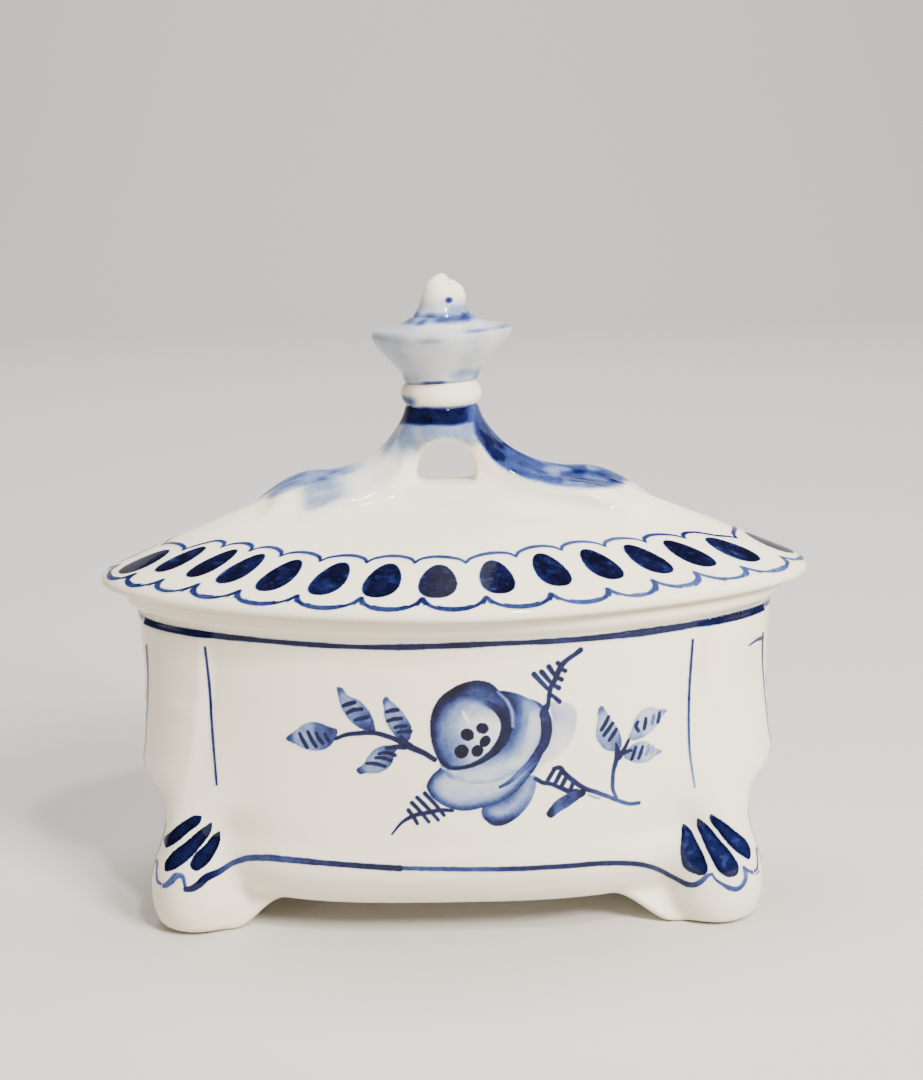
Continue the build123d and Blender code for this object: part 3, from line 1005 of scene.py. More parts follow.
    # ferns: top right and lower left
    s.stroke(
        [
            (20.8, 50.3), (19.8, 49.6), (18.5, 48.8), (17.7, 48.1), (17.0, 46.8), (16.4, 45.5), (15.8, 44.4),
            (15.6, 43.5), (15.4, 42.4),
        ],
        (0.95, 0.8, 0.8, 1.0, 0.95, 0.95, 0.9, 0.75, 0.7), 0.94,
    )
    for a, b, w in (
        ((13.0, 46.8), (15.4, 44.0), 0.80), ((14.3, 47.1), (15.8, 45.2), 0.80),
        ((15.5, 47.9), (16.5, 46.2), 0.75), ((17.0, 48.4), (17.7, 47.9), 0.75),
        ((17.2, 41.9), (15.7, 43.3), 0.70), ((17.1, 44.2), (16.2, 44.8), 0.75),
        ((17.6, 45.6), (16.8, 46.0), 0.70), ((18.2, 47.0), (17.4, 47.5), 0.65),
    ):
        s.stroke([a, ((a[0] + b[0]) / 2, (a[1] + b[1]) / 2), b], (1.15 * w, 1.05 * w, 0.8 * w), 0.94)
    s.stroke(
        [(-0.8, 24.2), (-2.8, 24.3), (-4.9, 23.9), (-6.9, 23.5), (-9.1, 22.3), (-11.0, 20.1)],
        (0.55, 0.75, 0.8, 0.75, 0.45, 0.30), 0.95,
    )
    for a, b in (
        ((-5.3, 27.2), (-2.2, 23.4)), ((-6.6, 26.5), (-3.2, 22.6)), ((-7.5, 25.6), (-4.8, 22.3)),
        ((-8.1, 24.3), (-6.7, 22.0)),
    ):
        s.stroke([a, ((a[0] + b[0]) / 2 + 0.1, (a[1] + b[1]) / 2), b], (0.74, 0.70, 0.60), 0.95)
    # comb, its stem and the dark bud below it
    s.stroke(
        [
            (16.1, 30.6), (17.1, 30.7), (17.7, 29.9), (19.2, 28.4), (21.1, 26.9), (23.3, 25.9), (25.2, 25.0),
            (27.1, 24.0), (28.9, 23.3), (30.5, 23.2),
        ],
        (0.7, 0.85, 0.9, 0.9, 0.85, 0.78, 0.74, 0.72, 0.70, 0.62),
        (0.94, 0.94, 0.93, 0.92, 0.88, 0.80, 0.74, 0.72, 0.72, 0.76),
    )
    s.stroke(
        [(13.0, 29.2), (14.0, 28.5), (15.7, 28.0), (17.3, 27.2), (18.8, 26.5), (19.9, 26.4)],
        (0.7, 0.75, 0.7, 0.75, 0.9, 1.0), 0.93,
    )
    for a, b in (
        ((16.2, 30.5), (15.1, 28.8)), ((17.2, 29.8), (16.3, 28.1)), ((18.1, 28.9), (17.3, 27.5)),
        ((19.3, 28.0), (18.8, 26.7)),
    ):
        s.stroke([a, ((a[0] + b[0]) / 2, (a[1] + b[1]) / 2), b], (0.74, 0.78, 0.74), 0.93)
    s.stroke([(21.8, 25.7), (22.5, 25.3), (23.7, 24.8)], (0.35, 0.45, 0.35), 0.42)
    s.patch(
        [
            (21.3, 26.6), (21.4, 25.9), (20.3, 25.1), (18.8, 24.1), (17.1, 23.2), (15.3, 22.3), (14.8, 22.8),
            (15.6, 24.3), (16.9, 25.5), (18.4, 26.2), (20.0, 26.6),
        ],
        lambda u, v, d: 0.66 + 0.30 * step(np.abs(u - 18.0), 1.2, 3.0)
        - 0.12 * step(-v, -24.2, -22.8) * (1 - step(np.abs(u - 18), 1.2, 2.6)) + 0.08 * mottle(u, v, 1.0, 55),
    )
    # right sprig
    s.stroke(
        [(26.6, 24.6), (26.0, 26.3), (26.0, 27.6), (26.2, 29.5), (26.7, 31.2), (26.9, 32.5)],
        (0.6, 0.65, 0.68, 0.7, 0.85, 1.0), (0.70, 0.74, 0.82, 0.88, 0.93, 0.95),
    )
    leaf(
        s,
        [
            (26.4, 32.6), (27.5, 33.1), (27.6, 34.4), (27.1, 36.2), (25.9, 38.1), (25.0, 39.6), (24.2, 40.6),
            (23.7, 40.1), (23.6, 38.7), (23.3, 37.0), (23.2, 35.6), (23.8, 34.2), (24.9, 33.0),
        ],
        (27.0, 32.6), (24.1, 40.6), 0.31, 0.50,
        [
            [(25.4, 38.6), (24.9, 37.6), (24.2, 36.5)], [(26.1, 37.4), (25.4, 36.5), (24.6, 35.5)],
            [(26.7, 36.3), (26.1, 35.4), (25.5, 34.6)],
        ],
        0.94, 0.72,
    )
    leaf(
        s,
        [
            (28.8, 34.4), (29.3, 35.9), (29.9, 37.6), (31.1, 39.0), (32.5, 39.4), (34.0, 38.8), (35.5, 38.4),
            (34.6, 37.3), (33.6, 35.9), (32.6, 35.1), (31.2, 34.3), (29.7, 34.1),
        ],
        (28.8, 34.2), (35.5, 38.5), 0.26, 0.42,
        [
            [(30.4, 37.1), (30.1, 36.5), (30.5, 35.6)], [(31.8, 37.5), (31.7, 36.7), (31.5, 35.8)],
            [(33.2, 37.9), (33.1, 37.2), (32.9, 36.5)], [(34.2, 38.2), (34.1, 37.5), (33.9, 36.6)],
        ],
        (0.94, 0.92, 0.6, 0.86), 0.70,
    )
    leaf(
        s,
        [
            (27.9, 31.4), (28.5, 32.7), (29.5, 33.4), (30.8, 33.8), (32.2, 33.4), (33.4, 32.3), (34.6, 31.5),
            (33.4, 30.9), (32.2, 30.1), (30.3, 30.1), (28.7, 30.8),
        ],
        (27.8, 31.6), (34.6, 31.5), 0.26, 0.42,
        [
            [(28.1, 32.0), (28.6, 32.3), (29.2, 32.4)], [(30.0, 32.9), (29.7, 31.9), (29.3, 30.9)],
            [(31.2, 32.8), (30.9, 31.9), (30.5, 30.9)], [(32.2, 32.8), (32.1, 32.0), (31.8, 31.3)],
            [(33.0, 32.5), (32.9, 32.0), (32.8, 31.6)],
        ],
        (0.9, 0.94, 0.9, 0.5, 0.42), 0.66,
    )
    s.stroke([(27.1, 31.4), (27.8, 32.4), (28.8, 34.2)], (0.95, 0.8, 0.5), 0.94)
    s.stroke([(26.9, 32.5), (26.8, 33.2), (26.6, 34.0)], (0.9, 0.7, 0.3), 0.9)
    # left sprig
    leaf(
        s,
        [
            (-19.6, 37.7), (-21.0, 38.2), (-22.4, 38.7), (-24.1, 38.8), (-25.5, 38.2), (-26.8, 37.1),
            (-28.4, 35.6), (-26.8, 34.8), (-25.1, 34.1), (-23.0, 34.0), (-21.6, 34.4), (-20.4, 35.5),
            (-19.8, 36.5),
        ],
        (-19.8, 37.0), (-28.4, 35.6), 0.39, 0.70,
        [
            [(-26.0, 36.7), (-25.5, 35.6), (-24.8, 34.4)], [(-24.6, 37.1), (-24.1, 36.0), (-23.3, 34.7)],
            [(-23.2, 37.0), (-22.8, 36.1), (-22.1, 35.3)], [(-21.7, 36.9), (-21.5, 36.4), (-21.1, 35.8)],
        ],
        0.97, 0.72,
    )
    leaf(
        s,
        [
            (-13.3, 37.8), (-13.4, 39.0), (-13.8, 40.4), (-14.6, 41.7), (-15.9, 42.9), (-17.7, 43.7),
            (-18.7, 44.9), (-19.4, 45.0), (-19.3, 43.7), (-19.0, 42.1), (-18.2, 40.4), (-16.9, 38.9),
            (-15.5, 38.0), (-14.2, 37.7),
        ],
        (-13.8, 37.9), (-19.2, 45.0), 0.39, 0.67,
        [
            [(-18.5, 41.8), (-17.6, 42.2), (-16.6, 42.5)], [(-17.8, 40.7), (-16.8, 41.2), (-15.4, 41.4)],
            [(-16.6, 39.5), (-15.6, 39.8), (-14.4, 40.1)],
        ],
        0.97, 0.74,
    )
    leaf(
        s,
        [
            (-7.6, 36.4), (-7.3, 37.5), (-7.3, 38.7), (-7.9, 39.9), (-9.0, 41.5), (-10.5, 42.9),
            (-11.4, 43.6), (-11.8, 43.2), (-11.8, 42.0), (-11.6, 39.9), (-10.9, 38.3), (-10.1, 37.1),
            (-8.8, 35.9),
        ],
        (-8.0, 36.3), (-11.6, 43.6), 0.39, 0.69,
        [
            [(-11.3, 41.0), (-10.5, 41.3), (-9.4, 41.4)], [(-11.2, 39.5), (-10.2, 39.8), (-8.9, 40.0)],
            [(-10.0, 38.4), (-9.2, 38.6), (-8.2, 38.7)], [(-9.6, 37.6), (-8.6, 37.7), (-7.4, 37.8)],
        ],
        0.97, 0.72,
    )
    leaf(
        s,
        [
            (-9.2, 35.4), (-10.5, 35.4), (-12.0, 35.3), (-13.4, 34.7), (-14.6, 33.4), (-15.4, 32.1),
            (-16.6, 30.9), (-16.1, 30.3), (-15.2, 30.5), (-14.0, 30.5), (-12.7, 30.7), (-11.3, 31.5),
            (-10.4, 32.8), (-10.2, 34.0),
        ],
        (-9.8, 35.0), (-16.6, 30.6), 0.40, 0.70,
        [
            [(-12.8, 33.9), (-11.4, 34.1), (-10.1, 33.7)], [(-13.3, 33.2), (-12.1, 33.2), (-10.8, 32.8)],
            [(-14.8, 32.2), (-13.5, 32.2), (-11.8, 31.8)],
        ],
        0.97, 0.66,
    )
    s.stroke(
        [
            (-19.9, 36.2), (-18.3, 36.9), (-15.9, 37.3), (-13.3, 37.4), (-11.3, 36.9), (-9.5, 36.2),
            (-7.5, 35.1), (-5.5, 34.2), (-3.6, 33.0),
        ],
        (0.6, 0.75, 0.8, 0.82, 0.82, 0.9, 1.1, 0.95, 0.9), 0.97,
    )
    s.stroke([(-9.0, 36.8), (-8.3, 35.9), (-7.5, 35.3)], (0.8, 1.0, 1.0), 0.95)
    s.stroke([(-8.4, 35.1), (-10.2, 35.1), (-11.5, 34.9)], (0.95, 0.8, 0.7), 0.95)


def front_lines(s):
    """Border lines of the front panel and the line along its foot."""
    s.stroke(
        [(-42.2, 49.8), (-41.8, 44.5), (-41.4, 34.8), (-40.9, 26.6)], (0.48, 0.52, 0.50, 0.45),
        (0.86, 0.90, 0.88, 0.74),
    )
    s.stroke(
        [(40.2, 49.6), (39.4, 37.6), (39.5, 30.8), (40.3, 24.6)], (0.50, 0.48, 0.44, 0.36),
        (0.90, 0.86, 0.76, 0.50),
    )
    s.stroke(
        [(-37.9, 13.2), (-36.2, 14.0), (-33.0, 14.7), (-28.5, 14.9), (-21.6, 14.8), (-9.8, 14.2)],
        (1.0, 1.15, 1.15, 1.0, 1.05, 1.1), (0.76, 0.76, 0.80, 0.90, 0.95, 0.97),
    )
    s.stroke(
        [
            (-10.2, 14.25), (-2.0, 14.0), (5.2, 13.8), (18.6, 13.7), (23.7, 13.6), (28.1, 13.0), (30.4, 12.4),
            (32.7, 11.3), (34.6, 9.9),
        ],
        (0.8, 0.85, 0.85, 0.88, 0.9, 0.92, 0.92, 0.92, 0.92, 0.92),
        (0.74, 0.72, 0.72, 0.80, 0.88, 0.92, 0.92, 0.92, 0.92, 0.92),
    )


def end_sprig(s):
    """Side panel: a small sprig between border lines."""
    s.stroke(
        [(-0.5, 24.0), (0.6, 28.0), (0.2, 33.0), (-0.8, 38.0)], (0.6, 0.7, 0.7, 0.5), (0.75, 0.9, 0.95, 0.95),
    )
    for side, v, size in ((-1, 29.0, 1.0), (1, 30.5, 1.0), (-1, 34.0, 0.9), (1, 35.5, 0.85)):
        points = [(0.3, 0.0), (1.6, 1.9), (4.2, 2.6), (6.6, 2.9), (5.6, 0.6), (3.2, -0.5)]
        outline = [(side * a * size, v + (b + 0.5) * size) for a, b in points]
        cuts = [
            [
                (side * a * size, v + (2.6 + a * 0.12) * size * 0.9),
                (side * (a + 0.3) * size, v + 0.6 * size),
            ] for a in (2.0, 3.2, 4.4)
        ]
        cuts = [[a, ((a[0] + b[0]) / 2, (a[1] + b[1]) / 2), b] for a, b in cuts]
        leaf(s, outline, (0, v), (side * 6.6 * size, v + 3.4 * size), 0.24, 0.46, cuts, 0.95, 0.6)
    leaf(
        s, [(-0.8, 37.6), (0.6, 39.8), (0.2, 42.0), (-1.2, 44.6), (-2.4, 42.0), (-2.4, 39.6)], (-0.8, 37.8),
        (-1.2, 44.6), 0.24, 0.46,
        [[(-2.0, 41.9), (-1.0, 42.0), (-0.2, 42.3)], [(-2.2, 40.5), (-1.0, 40.6), (0.0, 41.0)]], 0.95, 0.6,
    )
    for side in (-1, 1):
        s.stroke(
            [(side * 10.5, 47.6), (side * 10.4, 40.0), (side * 10.2, 32.0), (side * 9.8, 25.0)],
            (0.80, 0.60, 0.48, 0.40), (0.94, 0.88, 0.8, 0.6),
        )
    s.stroke(
        [(-13.6, 12.4), (-9.0, 13.6), (0.0, 14.0), (9.0, 13.6), (13.6, 12.4)], 0.72,
        (0.72, 0.8, 0.7, 0.74, 0.72),
    )


def toe(s, outline, pale, seed):
    """A filled drop: pigment pools dark round its edge and at its root."""

    def shade(u, v, depth):
        inner = step(depth, 0.1, 0.9) * (0.35 + 0.65 * mottle(u, v, 1.1, seed))
        return 0.97 - pale * inner

    s.patch(outline, shade, 0.09)


def toes(s):
    """Three drops on each front foot and the wavy line that swings down round them."""
    toe(
        s,
        [
            (-43.7, 21.0), (-43.8, 20.4), (-46.1, 18.3), (-49.2, 15.8), (-50.3, 15.2), (-50.8, 15.8),
            (-49.3, 17.9), (-46.6, 20.2), (-44.5, 21.2),
        ],
        0.10, 61,
    )
    toe(
        s,
        [
            (-42.0, 19.9), (-42.1, 18.8), (-44.2, 15.8), (-47.2, 13.1), (-49.3, 11.9), (-50.3, 11.7),
            (-50.4, 12.5), (-49.2, 14.5), (-46.5, 16.8), (-43.4, 19.2),
        ],
        0.10, 62,
    )
    toe(
        s,
        [
            (-40.8, 18.2), (-40.7, 17.1), (-41.8, 14.4), (-43.3, 12.8), (-44.9, 12.2), (-45.7, 12.9),
            (-45.2, 14.5), (-43.2, 16.3), (-41.6, 17.9),
        ],
        0.12, 63,
    )
    toe(
        s,
        [
            (38.5, 17.9), (39.3, 17.3), (40.9, 14.6), (42.0, 12.2), (42.3, 10.6), (41.9, 9.9), (40.1, 9.7),
            (38.6, 10.3), (37.9, 12.5), (38.0, 15.5),
        ],
        0.22, 64,
    )
    toe(
        s,
        [
            (40.9, 18.9), (41.8, 18.4), (44.5, 15.5), (46.9, 12.5), (47.6, 11.0), (47.3, 9.7), (45.8, 9.4),
            (44.3, 10.3), (42.8, 12.8), (41.4, 15.9), (40.7, 18.2),
        ],
        0.24, 65,
    )
    toe(
        s,
        [
            (43.0, 19.7), (44.0, 19.2), (47.3, 16.6), (49.3, 14.5), (50.0, 12.6), (49.8, 11.7), (48.2, 12.6),
            (46.2, 14.4), (44.3, 16.8), (42.9, 19.0),
        ],
        0.24, 66,
    )
    s.stroke(
        [
            (-37.9, 13.2), (-39.3, 12.5), (-40.8, 11.7), (-43.0, 11.0), (-44.4, 9.9), (-45.6, 9.3),
            (-46.5, 9.2),
        ],
        (1.0, 0.95, 1.05, 1.25, 1.4, 1.2, 0.95), (0.76, 0.72, 0.84, 0.92, 0.94, 0.92, 0.90),
    )
    s.stroke(
        [
            (-46.6, 9.4), (-46.8, 10.4), (-47.1, 11.3), (-47.9, 11.4), (-49.2, 10.2), (-50.6, 9.2),
            (-51.4, 9.3),
        ],
        (0.6, 0.6, 0.9, 1.1, 1.0, 0.9, 0.8), (0.80, 0.70, 0.62, 0.60, 0.64, 0.62, 0.66),
    )
    s.stroke(
        [
            (34.5, 10.0), (36.2, 8.6), (37.7, 7.9), (39.1, 7.6), (40.1, 7.8), (41.3, 8.7), (42.4, 9.8),
            (43.0, 10.0),
        ],
        (0.92, 0.92, 0.94, 0.96, 0.96, 0.9, 0.8, 0.5), (0.92, 0.92, 0.90, 0.88, 0.82, 0.76, 0.68, 0.62),
    )
    s.stroke(
        [
            (43.0, 10.0), (43.5, 9.2), (44.7, 8.3), (46.0, 7.5), (47.3, 7.2), (48.2, 7.6), (48.8, 8.6),
            (48.8, 9.8), (48.5, 10.7),
        ],
        (0.35, 0.4, 0.6, 0.8, 0.9, 0.9, 0.85, 0.9, 0.5),
        (0.76, 0.80, 0.74, 0.70, 0.70, 0.68, 0.64, 0.58, 0.66),
    )
    s.stroke(
        [(48.5, 10.7), (49.2, 10.0), (50.2, 9.3), (51.4, 8.8)], (0.4, 0.5, 0.6, 0.6), (0.7, 0.72, 0.7, 0.7),
    )


def foot_end(s):
    """The wavy line and one more drop, carried on round the side of a foot."""
    s.stroke(
        [(6.6, 9.3), (7.6, 9.5), (8.4, 10.7), (9.0, 12.1), (10.2, 12.4)], (0.6, 0.8, 0.8, 0.8, 0.5),
        (0.68, 0.70, 0.70, 0.70, 0.66),
    )
    s.stroke(
        [(10.2, 12.4), (11.4, 10.2), (13.2, 8.9), (15.2, 9.5), (16.6, 11.6), (18.2, 13.0), (20.4, 13.2)],
        (0.5, 0.75, 0.85, 0.75, 0.7, 0.7, 0.6), (0.7, 0.8, 0.88, 0.8, 0.76, 0.72, 0.7),
    )
    toe(
        s,
        [
            (11.4, 19.0), (12.4, 17.2), (14.4, 13.6), (14.4, 12.0), (12.8, 11.6), (11.6, 12.8), (11.0, 16.0),
            (10.9, 18.4),
        ],
        0.30, 67,
    )


def border_drift(u):
    """Unevenness of the freehand border: rise of its upper side, rise and slip of its lower side."""
    x = np.interp(u % BORDER_LENGTH, border_u, border_x)
    upper = 0.5 * (1.0 - step(x, -8.0, 2.0)) + 2.8 * step(x, -3.0, 26.0) * (1.0 - 0.4 * step(x, 40.0, 54.0))
    upper += 2.0 * step(-x, 22.0, 46.0) * (1.0 - 0.4 * step(-x, 46.0, 54.0))
    upper -= 2.6 * step(np.abs(x), 48.5, 52.5)
    lower = 0.5 + 1.9 * np.exp(-(((x - 37.0) / 10.0) ** 2)) + 0.7 * np.exp(-(((x + 41.0) / 6.0) ** 2))
    slip = 2.5 * (1.0 - step(np.abs(x), 12.0, 42.0))
    return upper, lower, slip


def scallop(before, c, after, near, far, heights):
    """One scallop from join to join, with its crown at c."""
    u = [before, before + near * (c - before), before + far * (c - before), c]
    u += [c + (1.0 - far) * (after - c), after - near * (after - c), after]
    return np.stack([u, heights + heights[2::-1]], -1)


def lid_border(s):
    """Dark ovals between two scalloped lines, all round the lid."""
    front = border_y < 0
    order = np.argsort(border_x[front])
    marks = [-53.4, -49.0, -43.0, -37.0, -29.2, -20.4, -11.5, -2.4, 7.3, 16.9, 26.0, 34.6, 42.4, 49.6]
    centre = sorted(np.interp(marks, border_x[front][order], border_u[front][order]))
    centre = [0.9] + centre
    rest = np.linspace(centre[-1], centre[0] + BORDER_LENGTH, 15)[1:-1]
    centre = np.concatenate([centre, rest])
    follow = np.roll(centre, -1)
    follow[-1] += BORDER_LENGTH
    join = (centre + follow) / 2
    chance = np.random.default_rng(28)
    for k, c in enumerate(centre):
        left = join[k]
        before = join[k - 1] - (BORDER_LENGTH if k == 0 else 0.0)
        side = np.interp(c % BORDER_LENGTH, border_u, border_x)
        paler = float(step(side, -10.0, 40.0)) * (
            1.0 if border_y[np.searchsorted(border_u, c % BORDER_LENGTH)] < 0 else 0.4
        )
        dark = 0.40 * float(step(side, 36.0, 44.0))
        for turn in (0.0, BORDER_LENGTH):
            oval_mark(s, c + turn, 8.9 + float(border_drift(c)[0]), left - before, chance.random(4))
            top = scallop(before, c, left, 0.16, 0.50, (13.8, 14.7, 15.4, 15.7))
            top[:, 1] += border_drift(top[:, 0])[0]
            s.stroke(
                top + (turn, 0.0), (0.62, 0.80, 0.90, 0.80, 0.62),
                np.array((0.86, 0.80, 0.76, 0.78, 0.86)) - 0.12 * paler + 0.5 * dark, 0.14,
            )
            low = scallop(before, c, left, 0.14, 0.48, (3.9, 2.5, 1.1, 0.55))
            low = low + np.stack(border_drift(low[:, 0])[:0:-1], -1) * (-1.0, 1.0)
            s.stroke(
                low + (turn, 0.0), (0.8, 1.05, 1.25, 1.1, 0.8),
                np.array((0.90, 0.86, 0.80, 0.82, 0.88)) - 0.20 * paler, 0.15,
            )


def oval_mark(s, c, middle, room, chance):
    """One egg-shaped pool of cobalt, nearly black, with thin places."""
    t = np.linspace(0, 2 * np.pi, 17)[:-1]
    wide = min(3.0, room * 0.33) * (0.94 + 0.10 * chance[0])
    tall = 4.7 * (0.96 + 0.06 * chance[1])
    x = wide * np.sign(np.cos(t)) * np.abs(np.cos(t)) ** 0.94 * (1.0 - 0.13 * np.sin(t))
    y = middle + tall * np.sin(t) + 0.25 * (chance[2] - 0.5)

    def shade(u, v, depth):
        thin = mottle(u + 31 * chance[3], v, 1.3, 77)
        edge = step((u - c) / wide, 0.45, 1.0) * chance[3]
        # pale specks: painted glints of highlight off crystals in the pigment
        speck = mottle(u, v, 0.42, 78) > 0.93
        return 0.97 - 0.16 * step(thin, 0.62, 0.95) - 0.22 * edge - 0.16 * speck

    s.patch(np.stack([c + x, y], -1), shade, 0.13)


def rim_line(s):
    whole = RING_R * math.pi
    turns = np.linspace(-whole, whole, 181)
    height = 52.1 + 0.16 * np.sin(turns * 0.04) + 0.10 * np.sin(turns * 0.12 + 1.0)
    width = 0.92 + 0.30 * step(turns, 5.0, 50.0) * (
        1.0 - step(turns, 90.0, 140.0)
    ) + 0.12 * np.sin(turns * 0.12 + 2.0) + 0.08 * np.sin(turns * 0.32)
    s.stroke(np.stack([turns, height], -1), width, 0.96 - 0.05 * step(np.sin(turns * 0.06 - 1.0), 0.3, 0.9))


# ------------------------------------------------------------------ washes on the modelled knop


def streaks(p, seed):
    """Brush streaks that run outwards from the knop."""
    fine = mottle(p[:, 1], p[:, 0] * 0.12 + p[:, 2] * 0.25, 0.8, seed)
    return 0.6 * fine + 0.4 * mottle(p[:, 1] * 0.5, p[:, 0] * 0.4, 1.2, seed + 1)


STRAP_TONE = [0.34, 0.56, 0.62, 0.52]


def handle_ink(p, normals):
    x, y, z = p[:, 0] - KNOP_X, p[:, 1], p[:, 2] - SEAT
    uneven = streaks(p, 91)
    patchy = mottle(x, 1.5 * y + z, 2.4, 93)
    ink = np.zeros(len(p))
    for strap, tone in zip(STRAPS, STRAP_TONE):
        along_, f, across, drop = strap_lines(x, y, z, strap)
        half = curve(f, STRAP_F, STRAP_HALF)
        depth = 1.0 - step(drop, 1.6, 3.4)
        side = 1.0 - step(np.abs(across) / half, 0.8, 1.3)
        reach = (0.22 + 0.78 * step(f, 0.48, 0.72)) * step(along_, 3.0, 5.0) * (
            1.0 - step(along_ - strap[1], -3.0, 0.4)
        )
        ink = np.maximum(ink, tone * depth * side * reach * (0.70 + 0.55 * uneven))
    # right-hand straps: one broad wash over both, darker where the brush paused
    low = curve(
        x, [4.5, 6.5, 9.0, 13.0, 18.0, 29.0, 34.0], [26.4, 23.6, 20.2, 17.6, 15.9, 15.5, 16.0],
    ) + 0.2 * np.maximum(-y, 0.0)
    ink *= 1.0 - step(x, 16.0, 22.0) * (1.0 - step(z - low, -0.9, 0.4))
    broad = 0.50 + 0.26 * uneven + 0.26 * step(patchy, 0.35, 0.75) * np.exp(-(((x - 9.5) / 3.4) ** 2))
    broad += 0.24 * np.exp(-((y / 0.9) ** 2)) * step(x, 19.0, 24.0)
    broad -= 0.22 * step(patchy, 0.45, 0.8) * step(x, 14.0, 20.0)
    ink = np.maximum(ink, broad * step(z - low, -0.5, 0.7) * step(x, 4.0, 6.2) * (1.0 - step(x, 31.5, 35.5)))
    # dark band under the collar, and the pale wash that runs down from it
    r = np.hypot(x, y)
    band = step(z, 26.6 + 0.9 * uneven, 28.5) * (r < 8.5) * (0.86 + 0.12 * patchy) * (
        1.0 - 0.38 * step(x, 3.2, 5.6)
    )
    run = 0.38 * step(
        z, np.minimum(19.8 + 0.35 * np.maximum(x + 4.0, 0.0), 23.5), 25.0,
    ) * step(-r, -13.0, -10.0) * (0.5 + 0.7 * uneven)
    back = 0.52 * step(y, -3.2, -1.2) * step(-x, 10.0, 20.0) * (
        1.0 - step(-x, 29.5, 33.5)
    ) * step(z, 13.8, 15.2) * (0.55 + 0.6 * patchy)
    ink = np.maximum.reduce([ink, band, run, back])
    keep = hole_field(x, z)
    return np.clip(ink, 0, 0.95) * step(keep, 0.2, 1.5)


def collar_ink(p, normals):
    x, y, z = p[:, 0] - KNOP_X, p[:, 1], p[:, 2] - SEAT - COLLAR_Z
    # under: a painted shadow line along the foot of the collar
    under = 0.6 * (1.0 - step(z, 0.2, 0.9))
    left = 0.85 * (1.0 - step(z, 1.2, 2.8)) * step(-x, 3.4, 5.8)
    high = 0.45 * step(z, 4.0, 4.5) * step(-x, -2.0, 4.0)
    return np.maximum.reduce([under, left, high]) * (0.7 + 0.5 * mottle(x, y, 1.4, 101))


def cup_ink(p, normals):
    x, y, z = tilted(p, CUP_LEAN)
    r = np.hypot(x, y)
    uneven = mottle(np.arctan2(y, x) * 6.0, z * 0.6, 2.0, 111)
    # the wash is a little darker on the left side as painted shade
    wash = 0.13 + 0.10 * uneven + 0.05 * step(-x, 2.0, 8.0)
    rim = 0.40 * step(r, 9.8, 11.4) * step(normals[:, 2], 0.15, 0.6) * (0.45 + 0.8 * uneven) * (
        0.6 + 0.5 * step(x, 0.0, 6.0)
    )
    # painted shade: a soft grey band under the front of the lip
    shade_under_lip = 0.34 * np.exp(-(((z - 7.8) / 0.9) ** 2)) * np.exp(-(((x + 1.6) / 3.6) ** 2)) * (y < 0)
    right = 0.52 * step(x, -0.5, 2.4) * (1.0 - step(z, 1.0, 3.8)) * (0.5 + 0.6 * uneven)
    foot = (0.30 + 0.45 * step(x, -4.0, -2.0) * (1.0 - step(x, 0.0, 1.5))) * (1.0 - step(z, 0.1, 0.8))
    near_bud = 0.78 * step(normals[:, 2], 0.2, 0.5) * (1.0 - step(r, 5.6, 8.6)) * (
        0.40 + 0.8 * mottle(x, y, 2.0, 113)
    )
    top = 0.30 * step(normals[:, 2], 0.3, 0.7) * uneven
    low = 0.34 * (1.0 - step(z, 0.8, 3.4)) * (0.35 + 0.75 * uneven)
    return np.maximum.reduce([wash, rim, shade_under_lip, right, foot, near_bud, top, low])


def bud_ink(p, normals):
    x, y, z = p[:, 0] - KNOP_X, p[:, 1], p[:, 2] - SEAT - BUD_Z
    base = 0.64 * (1.0 - step(z, 0.2, 2.0)) * (0.5 + 0.7 * mottle(x, y, 1.5, 121))
    veil = 0.24 * (1.0 - step(z, 1.6, 4.2)) * (0.6 + 0.6 * mottle(x + z, y, 1.8, 123))
    right = 0.36 * step(x, -0.8, 2.4) * (1.0 - step(z, 1.4, 3.6))
    dot = 0.72 * (1.0 - step(np.hypot((x - 1.7) * 0.8, z - 3.0), 0.25, 0.85)) * (y < 0)
    return np.maximum.reduce([base, veil, right, dot])


# ------------------------------------------------------------------ build

# Size of the cells that each skin is grown from
BOX_CELL = 0.72
LID_CELL = 0.56
HANDLE_CELL = 0.34
KNOP_CELL = 0.28

glaze = glaze_material("white_glaze")
painted = glaze_material("painted_glaze")
line_glaze = glaze_material("cobalt_line")
wash_glaze = glaze_material("cobalt_wash")
bisque = bisque_material("bare_foot")


def split(verts, faces, keep):
    """The faces asked for, with only the points they use."""
    faces = faces[keep]
    used, inverse = np.unique(faces, return_inverse=True)
    return verts[used], inverse.reshape(faces.shape)


box_verts, box_faces = surface_net(box_field, (-61, -36, -1.5), (61, 36, SEAT + 1.5), BOX_CELL)
box_bed = BVHTree.FromPolygons(settle(box_field, box_verts).tolist(), box_faces.tolist())
pad = box_verts[box_faces][:, :, 2].mean(1) < 0.30
for name, keep, material, slot in (
    ("box_skin", ~pad, glaze, "white_glaze"), ("foot_pads", pad, bisque, "bare_foot"),
):
    skin = skin_from(name, box_field, *split(box_verts, box_faces, keep), material)
    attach(skin, "box")
    if name == "box_skin":
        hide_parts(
            "box_wall", "box_floor", "rim_moulding", "leg_front_left", "leg_front_right",
            "leg_back_left", "leg_back_right",
        )

